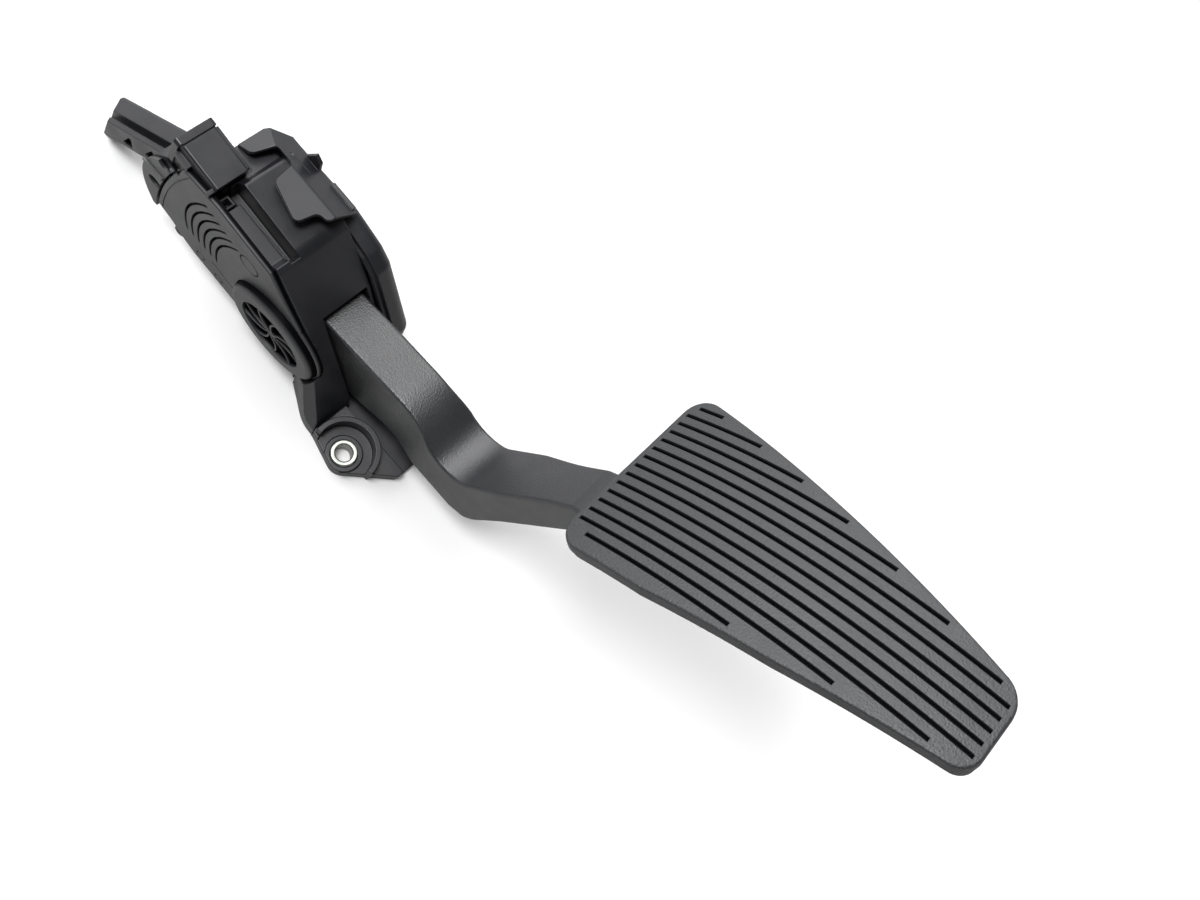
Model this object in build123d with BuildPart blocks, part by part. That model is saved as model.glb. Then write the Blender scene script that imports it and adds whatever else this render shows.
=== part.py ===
from build123d import *
import os
from math import atan2, cos, degrees, radians, sin

# Accelerator pedal module, in millimetres.
# Origin: the fixing bolt's axis where it meets the plane the foot stands on.
# +X runs down the pedal towards the pad, +Y away from the sensor side, +Z towards the driver.

# Pivot and swing
PIVOT_X = -51.0
PIVOT_Z = 40.0
LEVER_REACH = 34.0                # pivot to the centre of the lever's nose
LEVER_NOSE_R = 4.0
LEVER_RISE = 1.0                  # nose above the pivot at rest
LEVER_WIDTH = 13.0
HUB_R = 19.6
HUB_CLEARANCE = 2.0
STUB_R = 8.9
SHAFT_R = 4.0
BUSH_WALL = 2.0
RUNNING_FIT = 0.05
FACE_GAP = 0.3                    # free space between faces that move past each other

# Layers across the width
COVER_FACE_Y = 5.5
COVER_THICK = 2.5
POCKET_DEPTH = 6.0
NEAR_WEB = 2.0                    # wall between the sensor pocket and the arm
ARM_NEAR_Y = 17.0
ARM_WIDTH = 19.4
ARM_FAR_GAP = 0.5
FAR_WEB = 1.8
SHADOW_GAP = 1.5                  # open slot between the front skin and the far cover
FAR_COVER_DEPTH = 8.8
SHELL_WALL = 2.0

# Housing side profile, X and Z
FRONT_TOP = (-103.5, 90.0)
FRONT_CREST = (-86.0, 92.0)
FRONT_KNEE = (-58.0, 86.5)
FRONT_LIP = (-39.5, 61.5)
NECK_TOE = (-16.0, 16.0)
NECK_FOOT = (-14.0, 0.0)
BACK_KNEE = (-66.0, 9.0)          # where the housing's back starts to fall towards the foot
LOWER_TOP_Z = 89.0                # front surface beyond the crest

# Foot, its dish and the sleeve for the fixing bolt
FOOT_PLATE = 9.0
FOOT_TIP = (3.2, -8.2)
FOOT_CORNER = (22.1, 10.9)
FOOT_HEEL = (-15.0, -3.4)
FOOT_STEP_Y = 14.0                # thick part of the foot ends beside the arm
UNDER_ARM_PLATE = 4.0
DISH_R = 12.0
DISH_FLOOR = 7.5
DISH_WALL = 2.4
DISH_WALL_TOP = 16.0
SLEEVE_BORE_R = 3.6
SLEEVE_R = 5.7
SLEEVE_LENGTH = 10.5
SLEEVE_SEAT_R = 7.8

# Tail rail, which slides into the upper bracket
RAIL_NEAR_Y = 12.5
RAIL_WEB = 2.5
RAIL_GROOVE = 3.2
RAIL_FLANGE = 9.0
RAIL_TIP = (-159.0, 24.0)
RAIL_ROOT = (-107.0, 71.5)
RAIL_HEEL_X = -169.0              # end of its heel before the end face is cut
RAIL_DEPTH = 14.4
RAIL_GROOVE_DEPTH = 5.0
RAIL_SIDE_DEPTH = 10.0

# Arm
ARM_SKIN = 3.0
ARM_FLARE = 2.0                   # extra width each side in the bend

# Return springs and friction plunger
PLUNGER_R = 9.6
PLUNGER_HEIGHT = 11.0
PLUNGER_FLOOR = 3.0
PLUNGER_WALL = 1.3
SPRING_TOP_Z = 74.0
SEAT_THICK = 1.5
OUTER_COIL_R = 6.9
OUTER_WIRE_R = 0.8
OUTER_TURNS = 6
INNER_COIL_R = 4.2
INNER_WIRE_R = 0.6
INNER_TURNS = 8

# Pad, a curved plate with a tread on top
PAD_WIDE_END = (65.8, 144.0)      # X and Z where its curved face starts
PAD_R = 238.6
PAD_LENGTH = 132.8
PAD_WIDE_ANGLE = 145.2            # direction from the face's centre of curvature to the wide end
PAD_TREAD = 3.4
PAD_PLATE = 3.2
GROOVE_COUNT = 15
GROOVE_PITCH = 4.2
GROOVE_FAR_Y = 65.3
GROOVE_WIDTH = 1.3
GROOVE_DEPTH = 1.8
GROOVE_MARGIN = 2.1               # rim left between a groove's end and the pad's edge
GROOVE_CORNER_STARTS = (4.2, 8.9) # the outer two start later, beside the rounded corners

# Connector socket
SOCKET_MOUTH_X = -106.2
SOCKET_LENGTH = 17.5
SOCKET_TILT = 11.6                # its mouth faces away from the pad and a little upwards
SOCKET_NEAR_Y = 8.0
SOCKET_WIDTH = 13.5
SOCKET_TOP_Z = 98.0
SOCKET_HEIGHT = 20.0
SOCKET_WALL = 1.5
FAR_STRIP = 2.2                   # latch strip along the socket's far side

# Pivot cover, the round vented boss
BOSS_R = 22.5
BOSS_FACE_Y = 2.0
BOSS_RIM_R = 15.3
BOSS_HUB_R = 2.4
BOSS_GAP = 0.3
RING_WIDTH = 0.9                  # rim of the sensor cover around the boss
VANES = 9

# Shield over the wiring on the far side, placed from the front skin's far edge
GUARD_TOP_Z = 96.0
GUARD_THICK = 1.8
GUARD_FOLD = -5.2
GUARD_EDGE = 6.6

# Planes and heights worked out from the sizes above
WALL_Y = COVER_FACE_Y + COVER_THICK
POCKET_Y = WALL_Y + POCKET_DEPTH
SLOT_NEAR_Y = POCKET_Y + NEAR_WEB
ARM_FAR_Y = ARM_NEAR_Y + ARM_WIDTH
ARM_MID_Y = ARM_NEAR_Y + ARM_WIDTH / 2
SLOT_FAR_Y = ARM_FAR_Y + ARM_FAR_GAP
SKIN_FAR_Y = SLOT_FAR_Y + FAR_WEB
FAR_COVER_NEAR_Y = SKIN_FAR_Y + SHADOW_GAP
FAR_COVER_FACE_Y = FAR_COVER_NEAR_Y + FAR_COVER_DEPTH
BEARING_END_Y = FAR_COVER_FACE_Y - SHELL_WALL - 3.5
LEVER_Z = PIVOT_Z + LEVER_RISE
NOSE_X = PIVOT_X - LEVER_REACH
PLUNGER_Z = LEVER_Z + LEVER_NOSE_R + FACE_GAP
SPRING_FOOT_Z = PLUNGER_Z + PLUNGER_FLOOR
CHAMBER_TOP_Z = SPRING_TOP_Z + SEAT_THICK
SOCKET_FAR_Y = SOCKET_NEAR_Y + SOCKET_WIDTH
SOCKET_BACK_X = SOCKET_MOUTH_X + SOCKET_LENGTH * cos(radians(SOCKET_TILT))
SOCKET_BACK_Z = SOCKET_TOP_Z - SOCKET_LENGTH * sin(radians(SOCKET_TILT))
SOCKET_LOW_Z = SOCKET_BACK_Z - SOCKET_HEIGHT * cos(radians(SOCKET_TILT))
PAD_CENTRE = (
    PAD_WIDE_END[0] - PAD_R * cos(radians(PAD_WIDE_ANGLE)),
    PAD_WIDE_END[1] - PAD_R * sin(radians(PAD_WIDE_ANGLE)),
)
NEAR_BUSH_R = STUB_R + RUNNING_FIT + BUSH_WALL
FAR_BUSH_R = SHAFT_R + RUNNING_FIT + BUSH_WALL
BEARING_BOSS_R = FAR_BUSH_R + 3.0

os.makedirs("parts", exist_ok=True)


def side(y):
    """Plane at a given Y whose sketch axes are X and Z; a positive extrusion runs towards -Y."""
    return Plane(origin=(0, y, 0), x_dir=(1, 0, 0), z_dir=(0, -1, 0))


def at_pivot(y):
    """The side plane at a given Y, with its origin on the pivot axis."""
    return Plane(origin=(PIVOT_X, y, PIVOT_Z), x_dir=(1, 0, 0), z_dir=(0, -1, 0))


def across_socket(along):
    """Plane square to the socket, so far behind its mouth; sketch axes are Y and up from its top face."""
    tilt = radians(SOCKET_TILT)
    return Plane(
        origin=(SOCKET_MOUTH_X + along * cos(tilt), 0, SOCKET_TOP_Z - along * sin(tilt)),
        x_dir=(0, 1, 0),
        z_dir=(cos(tilt), 0, -sin(tilt)),
    )


def outline(*points, mode=Mode.ADD):
    """Fill or cut the closed outline through the points, inside the sketch that calls it."""
    return Polygon(*points, align=None, mode=mode)


def save(piece, name):
    """Label a finished piece and write it to its own file."""
    piece.part.label = name
    export_step(piece.part, f"parts/{name}.step")


# Housing block and far wall
END_TIP = (-126.0, 44.0)

with BuildPart() as block:
    with BuildSketch(side(SKIN_FAR_Y)):
        outline(
            FRONT_TOP, FRONT_CREST, FRONT_KNEE, FRONT_LIP, NECK_TOE, NECK_FOOT,
            (-42.0, 0), (-58.0, BACK_KNEE[1]), BACK_KNEE, (-104.5, 16.0), (-112.0, 22.5), (-120.0, 28.0),
            END_TIP, (-120.0, 67.0),
        )
        fillet(vertices().group_by(Axis.X)[0], radius=20)
    extrude(amount=SKIN_FAR_Y - WALL_Y)
    long_edges = block.edges().filter_by(Axis.Y)
    fillet(long_edges.sort_by_distance((FRONT_CREST[0], ARM_MID_Y, FRONT_CREST[1]))[0], radius=3)
    fillet(block.edges().filter_by(Axis.Y).sort_by_distance((FRONT_KNEE[0], 20, FRONT_KNEE[1]))[0], radius=8)
    # far half ends sooner than the near half, which carries the tail and the connector
    with BuildSketch(side(SKIN_FAR_Y + 1)):
        with Locations((-100.0, 0)):
            Rectangle(60, 100, align=(Align.MAX, Align.MIN))
    extrude(amount=SKIN_FAR_Y + 1 - 24.0, mode=Mode.SUBTRACT)
    with BuildSketch(Plane.XY):
        outline((-110, 31), (-100, 31), (-90, SKIN_FAR_Y + 1), (-110, SKIN_FAR_Y + 1))
    extrude(amount=100, mode=Mode.SUBTRACT)
    with BuildSketch(at_pivot(BEARING_END_Y)):
        Circle(BEARING_BOSS_R)
    extrude(amount=BEARING_END_Y - SKIN_FAR_Y)

with BuildPart() as foot:
    with BuildSketch(Plane.XY):
        outline(FOOT_HEEL, FOOT_TIP, FOOT_CORNER, (FOOT_CORNER[0], FOOT_STEP_Y), (NECK_TOE[0], FOOT_STEP_Y))
        fillet(vertices().group_by(Axis.Y)[0], radius=7)
        fillet(vertices().sort_by_distance(FOOT_CORNER)[0], radius=3)
    extrude(amount=FOOT_PLATE)
    with BuildSketch(Plane.XY):
        with Locations((NECK_TOE[0], FOOT_STEP_Y - 0.5)):
            Rectangle(
                FOOT_CORNER[0] - NECK_TOE[0], SKIN_FAR_Y - FOOT_STEP_Y + 0.5, align=(Align.MIN, Align.MIN),
            )
    extrude(amount=UNDER_ARM_PLATE)
    with BuildSketch(Plane.XY):
        Circle(DISH_R + DISH_WALL)
        outline((-30, -3), (-13, -3), (0, 0), (14, 1.5), (30, 1.5), (30, -30), (-30, -30), mode=Mode.SUBTRACT)
    extrude(amount=DISH_WALL_TOP)

# Neck: flares towards the near side as it runs down to the foot
with BuildPart() as neck:
    with BuildSketch(side(SLOT_NEAR_Y)):
        outline(FRONT_LIP, NECK_TOE, NECK_FOOT, (-47.0, 0), (-62.0, 20.0), (-62.0, 50.0))
    extrude(amount=SLOT_NEAR_Y + 5)
    with BuildSketch(Plane.YZ):
        outline(
            (SLOT_NEAR_Y, 0), (-3.4, 0), (-3.4, FOOT_PLATE), (WALL_Y - 1.5, 48), (WALL_Y, 58), (SLOT_NEAR_Y, 62),
        )
        fillet(vertices().sort_by_distance((-3.4, FOOT_PLATE))[0], radius=12)
    extrude(amount=80, both=True, mode=Mode.INTERSECT)
    with BuildSketch(Plane.XY):
        with BuildLine():
            Polyline((-43, WALL_Y), (-62, WALL_Y), (-62, SLOT_NEAR_Y), (-12, SLOT_NEAR_Y), (-12, -3.4))
            Spline(
                (-12, -3.4), (-22, -2.4), (-31, 2.2), (-37, 5.6), (-43, WALL_Y), tangents=((-1, 0), (-1, 0)),
            )
        make_face()
    extrude(amount=80, mode=Mode.INTERSECT)

# Tail rail: a sloping beam with a groove along its front
RAIL_SLOPE = atan2(RAIL_ROOT[1] - RAIL_TIP[1], RAIL_ROOT[0] - RAIL_TIP[0])
RAIL_WEB_Y = RAIL_NEAR_Y + RAIL_WEB
RAIL_FLANGE_Y = RAIL_WEB_Y + RAIL_GROOVE
RAIL_FAR_Y = RAIL_FLANGE_Y + RAIL_FLANGE
RAIL_POCKETS = 3
RAIL_POCKET_PITCH = 18.0
RAIL_POCKET_FLOOR = 0.5


def along_rail(distance, depth):
    """Point on the rail's side: so far from the tip along its front, and so deep square to it."""
    x = RAIL_TIP[0] + distance * cos(RAIL_SLOPE) + depth * sin(RAIL_SLOPE)
    z = RAIL_TIP[1] + distance * sin(RAIL_SLOPE) - depth * cos(RAIL_SLOPE)
    return (x, z)


with BuildPart() as rail:
    with BuildSketch(side(RAIL_FAR_Y)):
        outline(
            along_rail(-7, 0), along_rail(75, 0), along_rail(75, RAIL_DEPTH), along_rail(-2, RAIL_DEPTH),
            (RAIL_HEEL_X + 6, 0), (RAIL_HEEL_X, 0),
        )
    extrude(amount=RAIL_FAR_Y - RAIL_NEAR_Y)
    crest = along_rail(20, 0)
    fillet(rail.edges().sort_by_distance((crest[0], RAIL_FAR_Y, crest[1]))[0], radius=2.5)
    # end face runs back towards the near side
    with BuildSketch(Plane(origin=(RAIL_TIP[0], 0, RAIL_TIP[1]), x_dir=(0, 1, 0), z_dir=(1, 0, 4))):
        outline((RAIL_NEAR_Y - 1, -3.0), (RAIL_FAR_Y + 1, 5.8), (RAIL_FAR_Y + 1, 40), (RAIL_NEAR_Y - 1, 40))
    extrude(amount=60, both=True, mode=Mode.SUBTRACT)
    # near web and far flange are shallower than the middle of the beam
    for y, thickness, depth in (
        (RAIL_WEB_Y, RAIL_WEB, RAIL_SIDE_DEPTH),
        (RAIL_FAR_Y, RAIL_FLANGE / 2, RAIL_GROOVE_DEPTH),
    ):
        with BuildSketch(side(y)):
            outline(along_rail(-40, depth), along_rail(75, depth), along_rail(75, 60), along_rail(-40, 60))
        extrude(amount=thickness, mode=Mode.SUBTRACT)
    with BuildSketch(side(RAIL_FLANGE_Y)):
        outline(
            along_rail(-10, -4), along_rail(75, -4), along_rail(75, RAIL_GROOVE_DEPTH),
            along_rail(-10, RAIL_GROOVE_DEPTH),
        )
    extrude(amount=RAIL_GROOVE, mode=Mode.SUBTRACT)
    for index in range(RAIL_POCKETS):
        start = 9.0 + index * RAIL_POCKET_PITCH
        with BuildSketch(side(RAIL_WEB_Y - RAIL_POCKET_FLOOR)):
            outline(along_rail(start, 7.6), along_rail(start + 12.5, 2.0), along_rail(start + 7.0, 8.5))
            fillet(vertices(), radius=0.6)
        extrude(amount=RAIL_WEB, mode=Mode.SUBTRACT)

# Spaces inside the housing
SEAL_WIDTH = 1.6
SEAL_DEPTH = 1.0
SEAL_OFFSET = 2.0                 # from the board's edge to the seal
BOARD_TOP_Z = SOCKET_LOW_Z - SEAL_OFFSET - SEAL_WIDTH - 1.0
BOARD_OUTLINE = (
    (-112.0, 33.0), (-104.0, 23.0), (-72.0, 20.0), (-64.0, 26.0), (-37.0, 28.0), (-37.0, 52.0),
    (-62.0, 56.0), (-71.0, BOARD_TOP_Z), (-108.0, BOARD_TOP_Z), (-112.0, BOARD_TOP_Z - 5.0),
)
BOARD_THICK = 1.6
BOARD_NEAR_Y = WALL_Y + 0.6
BOARD_POSTS = ((-106.0, 27.0), (-107.0, BOARD_TOP_Z - 5.5), (-77.0, BOARD_TOP_Z - 5.5), (-76.0, 25.0))
POST_R = 2.6
LEVER_FLOOR_Z = 33.0
WINDOW = (SOCKET_BACK_X + 2.5, WALL_Y + 2.4)
WINDOW_FLOOR_Z = 80.5
WINDOW_TOP_Z = 86.0
LEDGE_FAR_Y = 13.8
CHANNEL_WIDTH = 3.6

with BuildPart() as spaces:
    # drum for the arm's hub, and the slot by which the arm leaves
    with BuildSketch(at_pivot(SLOT_FAR_Y)):
        Circle(HUB_R + HUB_CLEARANCE)
    extrude(amount=SLOT_FAR_Y - SLOT_NEAR_Y)
    with BuildSketch(side(SLOT_FAR_Y)):
        outline(
            (PIVOT_X, PIVOT_Z + HUB_R + HUB_CLEARANCE), (-44, 61.8), (-30, 63), (-13.5, 63),
            (-13.5, UNDER_ARM_PLATE),
            (-31.0, UNDER_ARM_PLATE), (-37.0, 8.5), (PIVOT_X, 17.0),
        )
    extrude(amount=SLOT_FAR_Y - SLOT_NEAR_Y)
    # channel of the inner lever
    with BuildSketch(side(ARM_MID_Y + PLUNGER_R)):
        outline(
            (-97, LEVER_FLOOR_Z), (-76, LEVER_FLOOR_Z), (PIVOT_X - 12, 25), (PIVOT_X - 10, 56),
            (-75, 57), (-75, PLUNGER_Z + 2), (-97, PLUNGER_Z + 2),
        )
    extrude(amount=2 * PLUNGER_R)
    # notch in the chamber's wall, into which the lever's root swings
    with BuildSketch(side(ARM_MID_Y + LEVER_WIDTH / 2 + 0.8)):
        outline((-82, PLUNGER_Z + 1), (-74, PLUNGER_Z + 1), (-74, 57), (-82, 55))
    extrude(amount=LEVER_WIDTH + 1.6)
    with BuildSketch(Plane.XY.offset(PLUNGER_Z)):
        with Locations((NOSE_X, ARM_MID_Y)):
            Circle(PLUNGER_R + FACE_GAP)
    extrude(amount=CHAMBER_TOP_Z - PLUNGER_Z)
    # sensor pocket, left with posts for the circuit board
    with BuildSketch(side(POCKET_Y)):
        outline(*BOARD_OUTLINE)
        offset(amount=1.0)
    extrude(amount=POCKET_DEPTH + 1)
    with BuildSketch(side(POCKET_Y)):
        with Locations(*BOARD_POSTS):
            Circle(POST_R)
    extrude(amount=POCKET_Y - BOARD_NEAR_Y - BOARD_THICK, mode=Mode.SUBTRACT)
    with BuildSketch(side(WALL_Y + SEAL_DEPTH)):
        outline(*BOARD_OUTLINE)
        offset(amount=SEAL_OFFSET + SEAL_WIDTH)
        with BuildSketch(mode=Mode.SUBTRACT):
            outline(*BOARD_OUTLINE)
            offset(amount=SEAL_OFFSET)
    extrude(amount=SEAL_DEPTH + 1)
    # round seat of the pivot cover and of the ring about it
    with BuildSketch(at_pivot(WALL_Y)):
        Circle(BOSS_R + BOSS_GAP + RING_WIDTH + 0.2)
    extrude(amount=WALL_Y + 10)
    # seats of the bushes
    with BuildSketch(at_pivot(SLOT_NEAR_Y + 1)):
        Circle(NEAR_BUSH_R)
    extrude(amount=NEAR_WEB + 2)
    with BuildSketch(at_pivot(BEARING_END_Y + 1)):
        Circle(FAR_BUSH_R)
    extrude(amount=BEARING_END_Y - SLOT_FAR_Y + 2)
    # seat of the connector socket, and the recess beside its back
    with BuildSketch(across_socket(-30)):
        with Locations((-1, -SOCKET_HEIGHT)):
            Rectangle(SOCKET_FAR_Y + FAR_STRIP + 1, SOCKET_HEIGHT + 12, align=(Align.MIN, Align.MIN))
    extrude(amount=30 + SOCKET_LENGTH)
    with BuildSketch(Plane.XY.offset(WINDOW_FLOOR_Z)):
        with Locations((SOCKET_BACK_X - 1, WALL_Y - 1)):
            Rectangle(6.2, 7.2, align=(Align.MIN, Align.MIN))
        with Locations(WINDOW):
            Rectangle(4.4, 4.4, mode=Mode.SUBTRACT)
            Rectangle(2.4, 2.4)
    extrude(amount=SOCKET_HEIGHT)
    with BuildSketch(Plane.XY.offset(WINDOW_TOP_Z)):
        with Locations(WINDOW):
            Rectangle(5.0, 5.0)
    extrude(amount=SOCKET_HEIGHT)
    # front surface steps down beyond the crest
    with BuildSketch(side(60)):
        outline(
            (-130, LOWER_TOP_Z - 0.6), (-88.5, LOWER_TOP_Z), (-86.5, FRONT_CREST[1] + 0.4), (-87, 104), (-130, 104),
        )
    extrude(amount=60)
    # ledge along the near edge of the front, and the deep channel beside it
    with BuildSketch(side(LEDGE_FAR_Y)):
        outline((-89, 86.6), (-61.5, 82.6), (-58.2, 86.9), (-60, 100), (-89, 100))
    extrude(amount=30)
    with BuildSketch(side(LEDGE_FAR_Y + CHANNEL_WIDTH)):
        outline((-89, 80.5), (-61.0, 76.0), (-57.0, 87.5), (-60, 100), (-89, 100))
    extrude(amount=CHANNEL_WIDTH)
    # bolt sleeve and its dish
    with BuildSketch(Plane.XY.offset(DISH_FLOOR)):
        Circle(DISH_R)
        Circle(SLEEVE_SEAT_R, mode=Mode.SUBTRACT)
    extrude(amount=40)
    with BuildSketch(Plane.XY.offset(FOOT_PLATE)):
        Circle(SLEEVE_SEAT_R + 0.5)
    extrude(amount=40)
    with BuildSketch(Plane.XY.offset(-1)):
        Circle(SLEEVE_R)
    extrude(amount=30)

# Lightening pockets, open at the back
BACK_POCKET = (9.5, 8.6)
POCKET_RIB = 2.4

with BuildPart() as back_pockets:
    with BuildSketch(Plane.XY):
        with Locations((-84.0, ARM_MID_Y)):
            with GridLocations(BACK_POCKET[0] + POCKET_RIB, BACK_POCKET[1] + POCKET_RIB, 3, 2):
                RectangleRounded(BACK_POCKET[0], BACK_POCKET[1], radius=1.5)
    extrude(amount=LEVER_FLOOR_Z - 3.0)
    with BuildSketch(Plane.XY):
        with Locations((-33.0, 8.5)):
            RectangleRounded(11, 5.5, radius=1.5)
    extrude(amount=9.0)

with BuildPart() as housing_body:
    add(block.part)
    add(foot.part)
    add(neck.part)
    add(rail.part)
    add(spaces.part, mode=Mode.SUBTRACT)
    add(back_pockets.part, mode=Mode.SUBTRACT)
save(housing_body, "housing_body")

# Steel sleeve moulded into the foot
with BuildPart() as mount_sleeve:
    with BuildSketch(Plane.XY):
        Circle(SLEEVE_R)
        Circle(SLEEVE_BORE_R, mode=Mode.SUBTRACT)
    extrude(amount=SLEEVE_LENGTH)
    chamfer(mount_sleeve.edges().group_by(Axis.Z)[-1], length=0.4)
save(mount_sleeve, "mount_sleeve")

# Sensor cover, with its louvres
COVER_EDGE = (
    (-102.0, 89.0), (-86.0, 90.0), (-59.0, 84.8), (-50.0, 72.5), (-40.8, 62.0), (-60.0, 30.0), (-66.0, 16.0),
    (-96.0, 20.5), (-103.0, 23.0), (-110.0, 28.5), (-118.0, 32.0),
)
SEAM_BULGE = (-112.6, 60.0)
LOUVRES = 6
LOUVRE_WIDTH = 1.0
LOUVRE_DEPTH = 2.0
RIM_BAND = 2.6                    # between the seam and a fine line beside it
DISC = (-68.6, 71.6)
DISC_R = 4.8
DIALS = ((-94.0, 26.0), (-83.5, 23.5))
BAR = ((-87.4, 34.0), (-74.2, 30.8))
DIAL_R = 2.4

with BuildPart() as sensor_cover:
    with BuildSketch(side(WALL_Y)):
        with BuildLine():
            Polyline(*COVER_EDGE)
            ThreePointArc(COVER_EDGE[-1], SEAM_BULGE, COVER_EDGE[0])
        make_face()
        with Locations((PIVOT_X, PIVOT_Z)):
            Circle(BOSS_R + BOSS_GAP + RING_WIDTH)
            Circle(BOSS_R + BOSS_GAP, mode=Mode.SUBTRACT)
    extrude(amount=COVER_THICK)
    chamfer(sensor_cover.faces().sort_by(Axis.Y)[0].outer_wire().edges(), length=0.5)
    # corner makes way for the socket's collar
    with BuildSketch(side(WALL_Y)):
        outline((-116, 76.5), (-105.4, 76.5), (-102.6, 92), (-116, 92))
    extrude(amount=5, mode=Mode.SUBTRACT)
    for index in range(LOUVRES):
        with BuildSketch(side(COVER_FACE_Y + LOUVRE_DEPTH)):
            with BuildLine():
                ThreePointArc(
                    (-101.0 + 3.25 * index, 39.0),
                    (-98.2 + 2.85 * index, 68.6 - 2.4 * index),
                    (-90.5 + 3.2 * index, 81.1 - 1.5 * index),
                )
            trace(line_width=LOUVRE_WIDTH)
        extrude(amount=2, mode=Mode.SUBTRACT)
    with BuildSketch(side(COVER_FACE_Y + 0.5)):
        with BuildLine():
            ThreePointArc(
                (COVER_EDGE[-1][0] + RIM_BAND, COVER_EDGE[-1][1]),
                (SEAM_BULGE[0] + RIM_BAND, SEAM_BULGE[1]),
                (COVER_EDGE[0][0] + RIM_BAND, COVER_EDGE[0][1] - 1),
            )
        trace(line_width=0.5)
    extrude(amount=2, mode=Mode.SUBTRACT)
    with BuildSketch(side(COVER_FACE_Y + 0.7)):
        with BuildLine():
            Line(*BAR)
        trace(line_width=1.0)
    extrude(amount=2, mode=Mode.SUBTRACT)
    # round test mark and two plain dials, each a shallow ring
    for centre, radius in ((DISC, DISC_R), (DIALS[0], DIAL_R), (DIALS[1], DIAL_R)):
        with BuildSketch(side(COVER_FACE_Y + 0.7)):
            with Locations(centre):
                Circle(radius)
                Circle(radius - 0.6, mode=Mode.SUBTRACT)
        extrude(amount=1, mode=Mode.SUBTRACT)
save(sensor_cover, "sensor_cover")

# Seal between the cover and the housing
with BuildPart() as cover_seal:
    with BuildSketch(side(WALL_Y + SEAL_DEPTH)):
        outline(*BOARD_OUTLINE)
        offset(amount=SEAL_OFFSET + SEAL_WIDTH)
        with BuildSketch(mode=Mode.SUBTRACT):
            outline(*BOARD_OUTLINE)
            offset(amount=SEAL_OFFSET)
    extrude(amount=SEAL_DEPTH)
save(cover_seal, "cover_seal")

# End cap beyond the seam
CAP_END_R = 41.5
CAP_CENTRE = (-84.0, 46.0)
CAP_SEAM_GAP = 0.9
CAP_RECESSES = ((-112.0, 74.0), (-118.5, 49.0))
CAP_RECESS_R = 3.4

with BuildPart() as end_cap:
    with BuildSketch(side(WALL_Y)):
        with Locations(CAP_CENTRE):
            Circle(CAP_END_R)
        with BuildLine(mode=Mode.PRIVATE) as seam:
            seam_edge = ThreePointArc(
                (COVER_EDGE[-1][0] - CAP_SEAM_GAP, COVER_EDGE[-1][1]),
                (SEAM_BULGE[0] - CAP_SEAM_GAP, SEAM_BULGE[1]),
                (COVER_EDGE[0][0] - CAP_SEAM_GAP, COVER_EDGE[0][1]),
            )
            Line(seam_edge @ 1, (-30, 100))
            Line((-30, 100), (-30, -20))
            Line((-30, -20), (COVER_EDGE[-1][0] - CAP_SEAM_GAP, -20))
            Line((COVER_EDGE[-1][0] - CAP_SEAM_GAP, -20), seam_edge @ 0)
        make_face(seam.edges(), mode=Mode.SUBTRACT)
    extrude(amount=COVER_THICK)
    with BuildSketch(side(COVER_FACE_Y)):
        with Locations((-118.5, 61.0)):
            Rectangle(10, 1.6)
    extrude(amount=0.8)
    with BuildSketch(side(WALL_Y)):
        outline((-130, 15), (-130, 27), (-119, 27), (-113, 30), (-105, 15), mode=Mode.ADD)
        outline((-113.6, 76.5), (-100, 76.5), (-100, 95), (-110.0, 95))
    extrude(amount=8, mode=Mode.SUBTRACT)
    for centre in CAP_RECESSES:
        with BuildSketch(side(COVER_FACE_Y + 1.4)):
            with Locations(centre):
                Circle(CAP_RECESS_R)
        extrude(amount=2, mode=Mode.SUBTRACT)
save(end_cap, "end_cap")

# Screw at the cover's lower corner, in a lug of its own
with BuildPart() as cover_screw:
    with BuildSketch(side(WALL_Y)):
        with Locations((-108.0, 20.5)):
            Circle(2.4)
    extrude(amount=1.6)
    fillet(cover_screw.edges().group_by(Axis.Y)[0], radius=0.6)
    with BuildSketch(side(COVER_FACE_Y + 1.5)):
        with Locations((-108.0, 20.5)):
            RegularPolygon(radius=1.2, side_count=6)
    extrude(amount=2, mode=Mode.SUBTRACT)
save(cover_screw, "cover_screw")

# Vented cap over the pivot: a rim, a hub and curved vanes
VANE_THICK = 0.8
VANE_DROP = 0.7                   # vanes' tops below the face
VENT_FLOOR_Y = WALL_Y - 0.8

with BuildPart() as pivot_cover:
    with BuildSketch(at_pivot(WALL_Y)):
        Circle(BOSS_R)
    extrude(amount=WALL_Y - BOSS_FACE_Y)
    fillet(pivot_cover.edges().group_by(Axis.Y)[0], radius=2.6)
    with BuildSketch(at_pivot(VENT_FLOOR_Y)):
        Circle(BOSS_RIM_R)
        Circle(BOSS_HUB_R, mode=Mode.SUBTRACT)
        with PolarLocations(0, VANES):
            with BuildLine():
                SagittaArc((BOSS_HUB_R - 0.4, 0), (BOSS_RIM_R + 0.4, 0), 2.2)
            trace(line_width=VANE_THICK, mode=Mode.SUBTRACT)
    extrude(amount=VENT_FLOOR_Y, mode=Mode.SUBTRACT)
    with BuildSketch(at_pivot(BOSS_FACE_Y + VANE_DROP)):
        Circle(BOSS_RIM_R)
    extrude(amount=3, mode=Mode.SUBTRACT)
save(pivot_cover, "pivot_cover")

# Circuit board on its posts, with the two angle sensors facing the rotor
CHIP = (4.4, 5.2, 1.0)
CHIP_RING_R = 7.8
CAPACITORS = ((-92.0, 60.0), (-84.0, 60.0), (-92.0, 34.0), (-84.0, 34.0))
CAPACITOR = (3.2, 1.6, 1.2)
BOARD_FAR_Y = BOARD_NEAR_Y + BOARD_THICK

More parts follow.
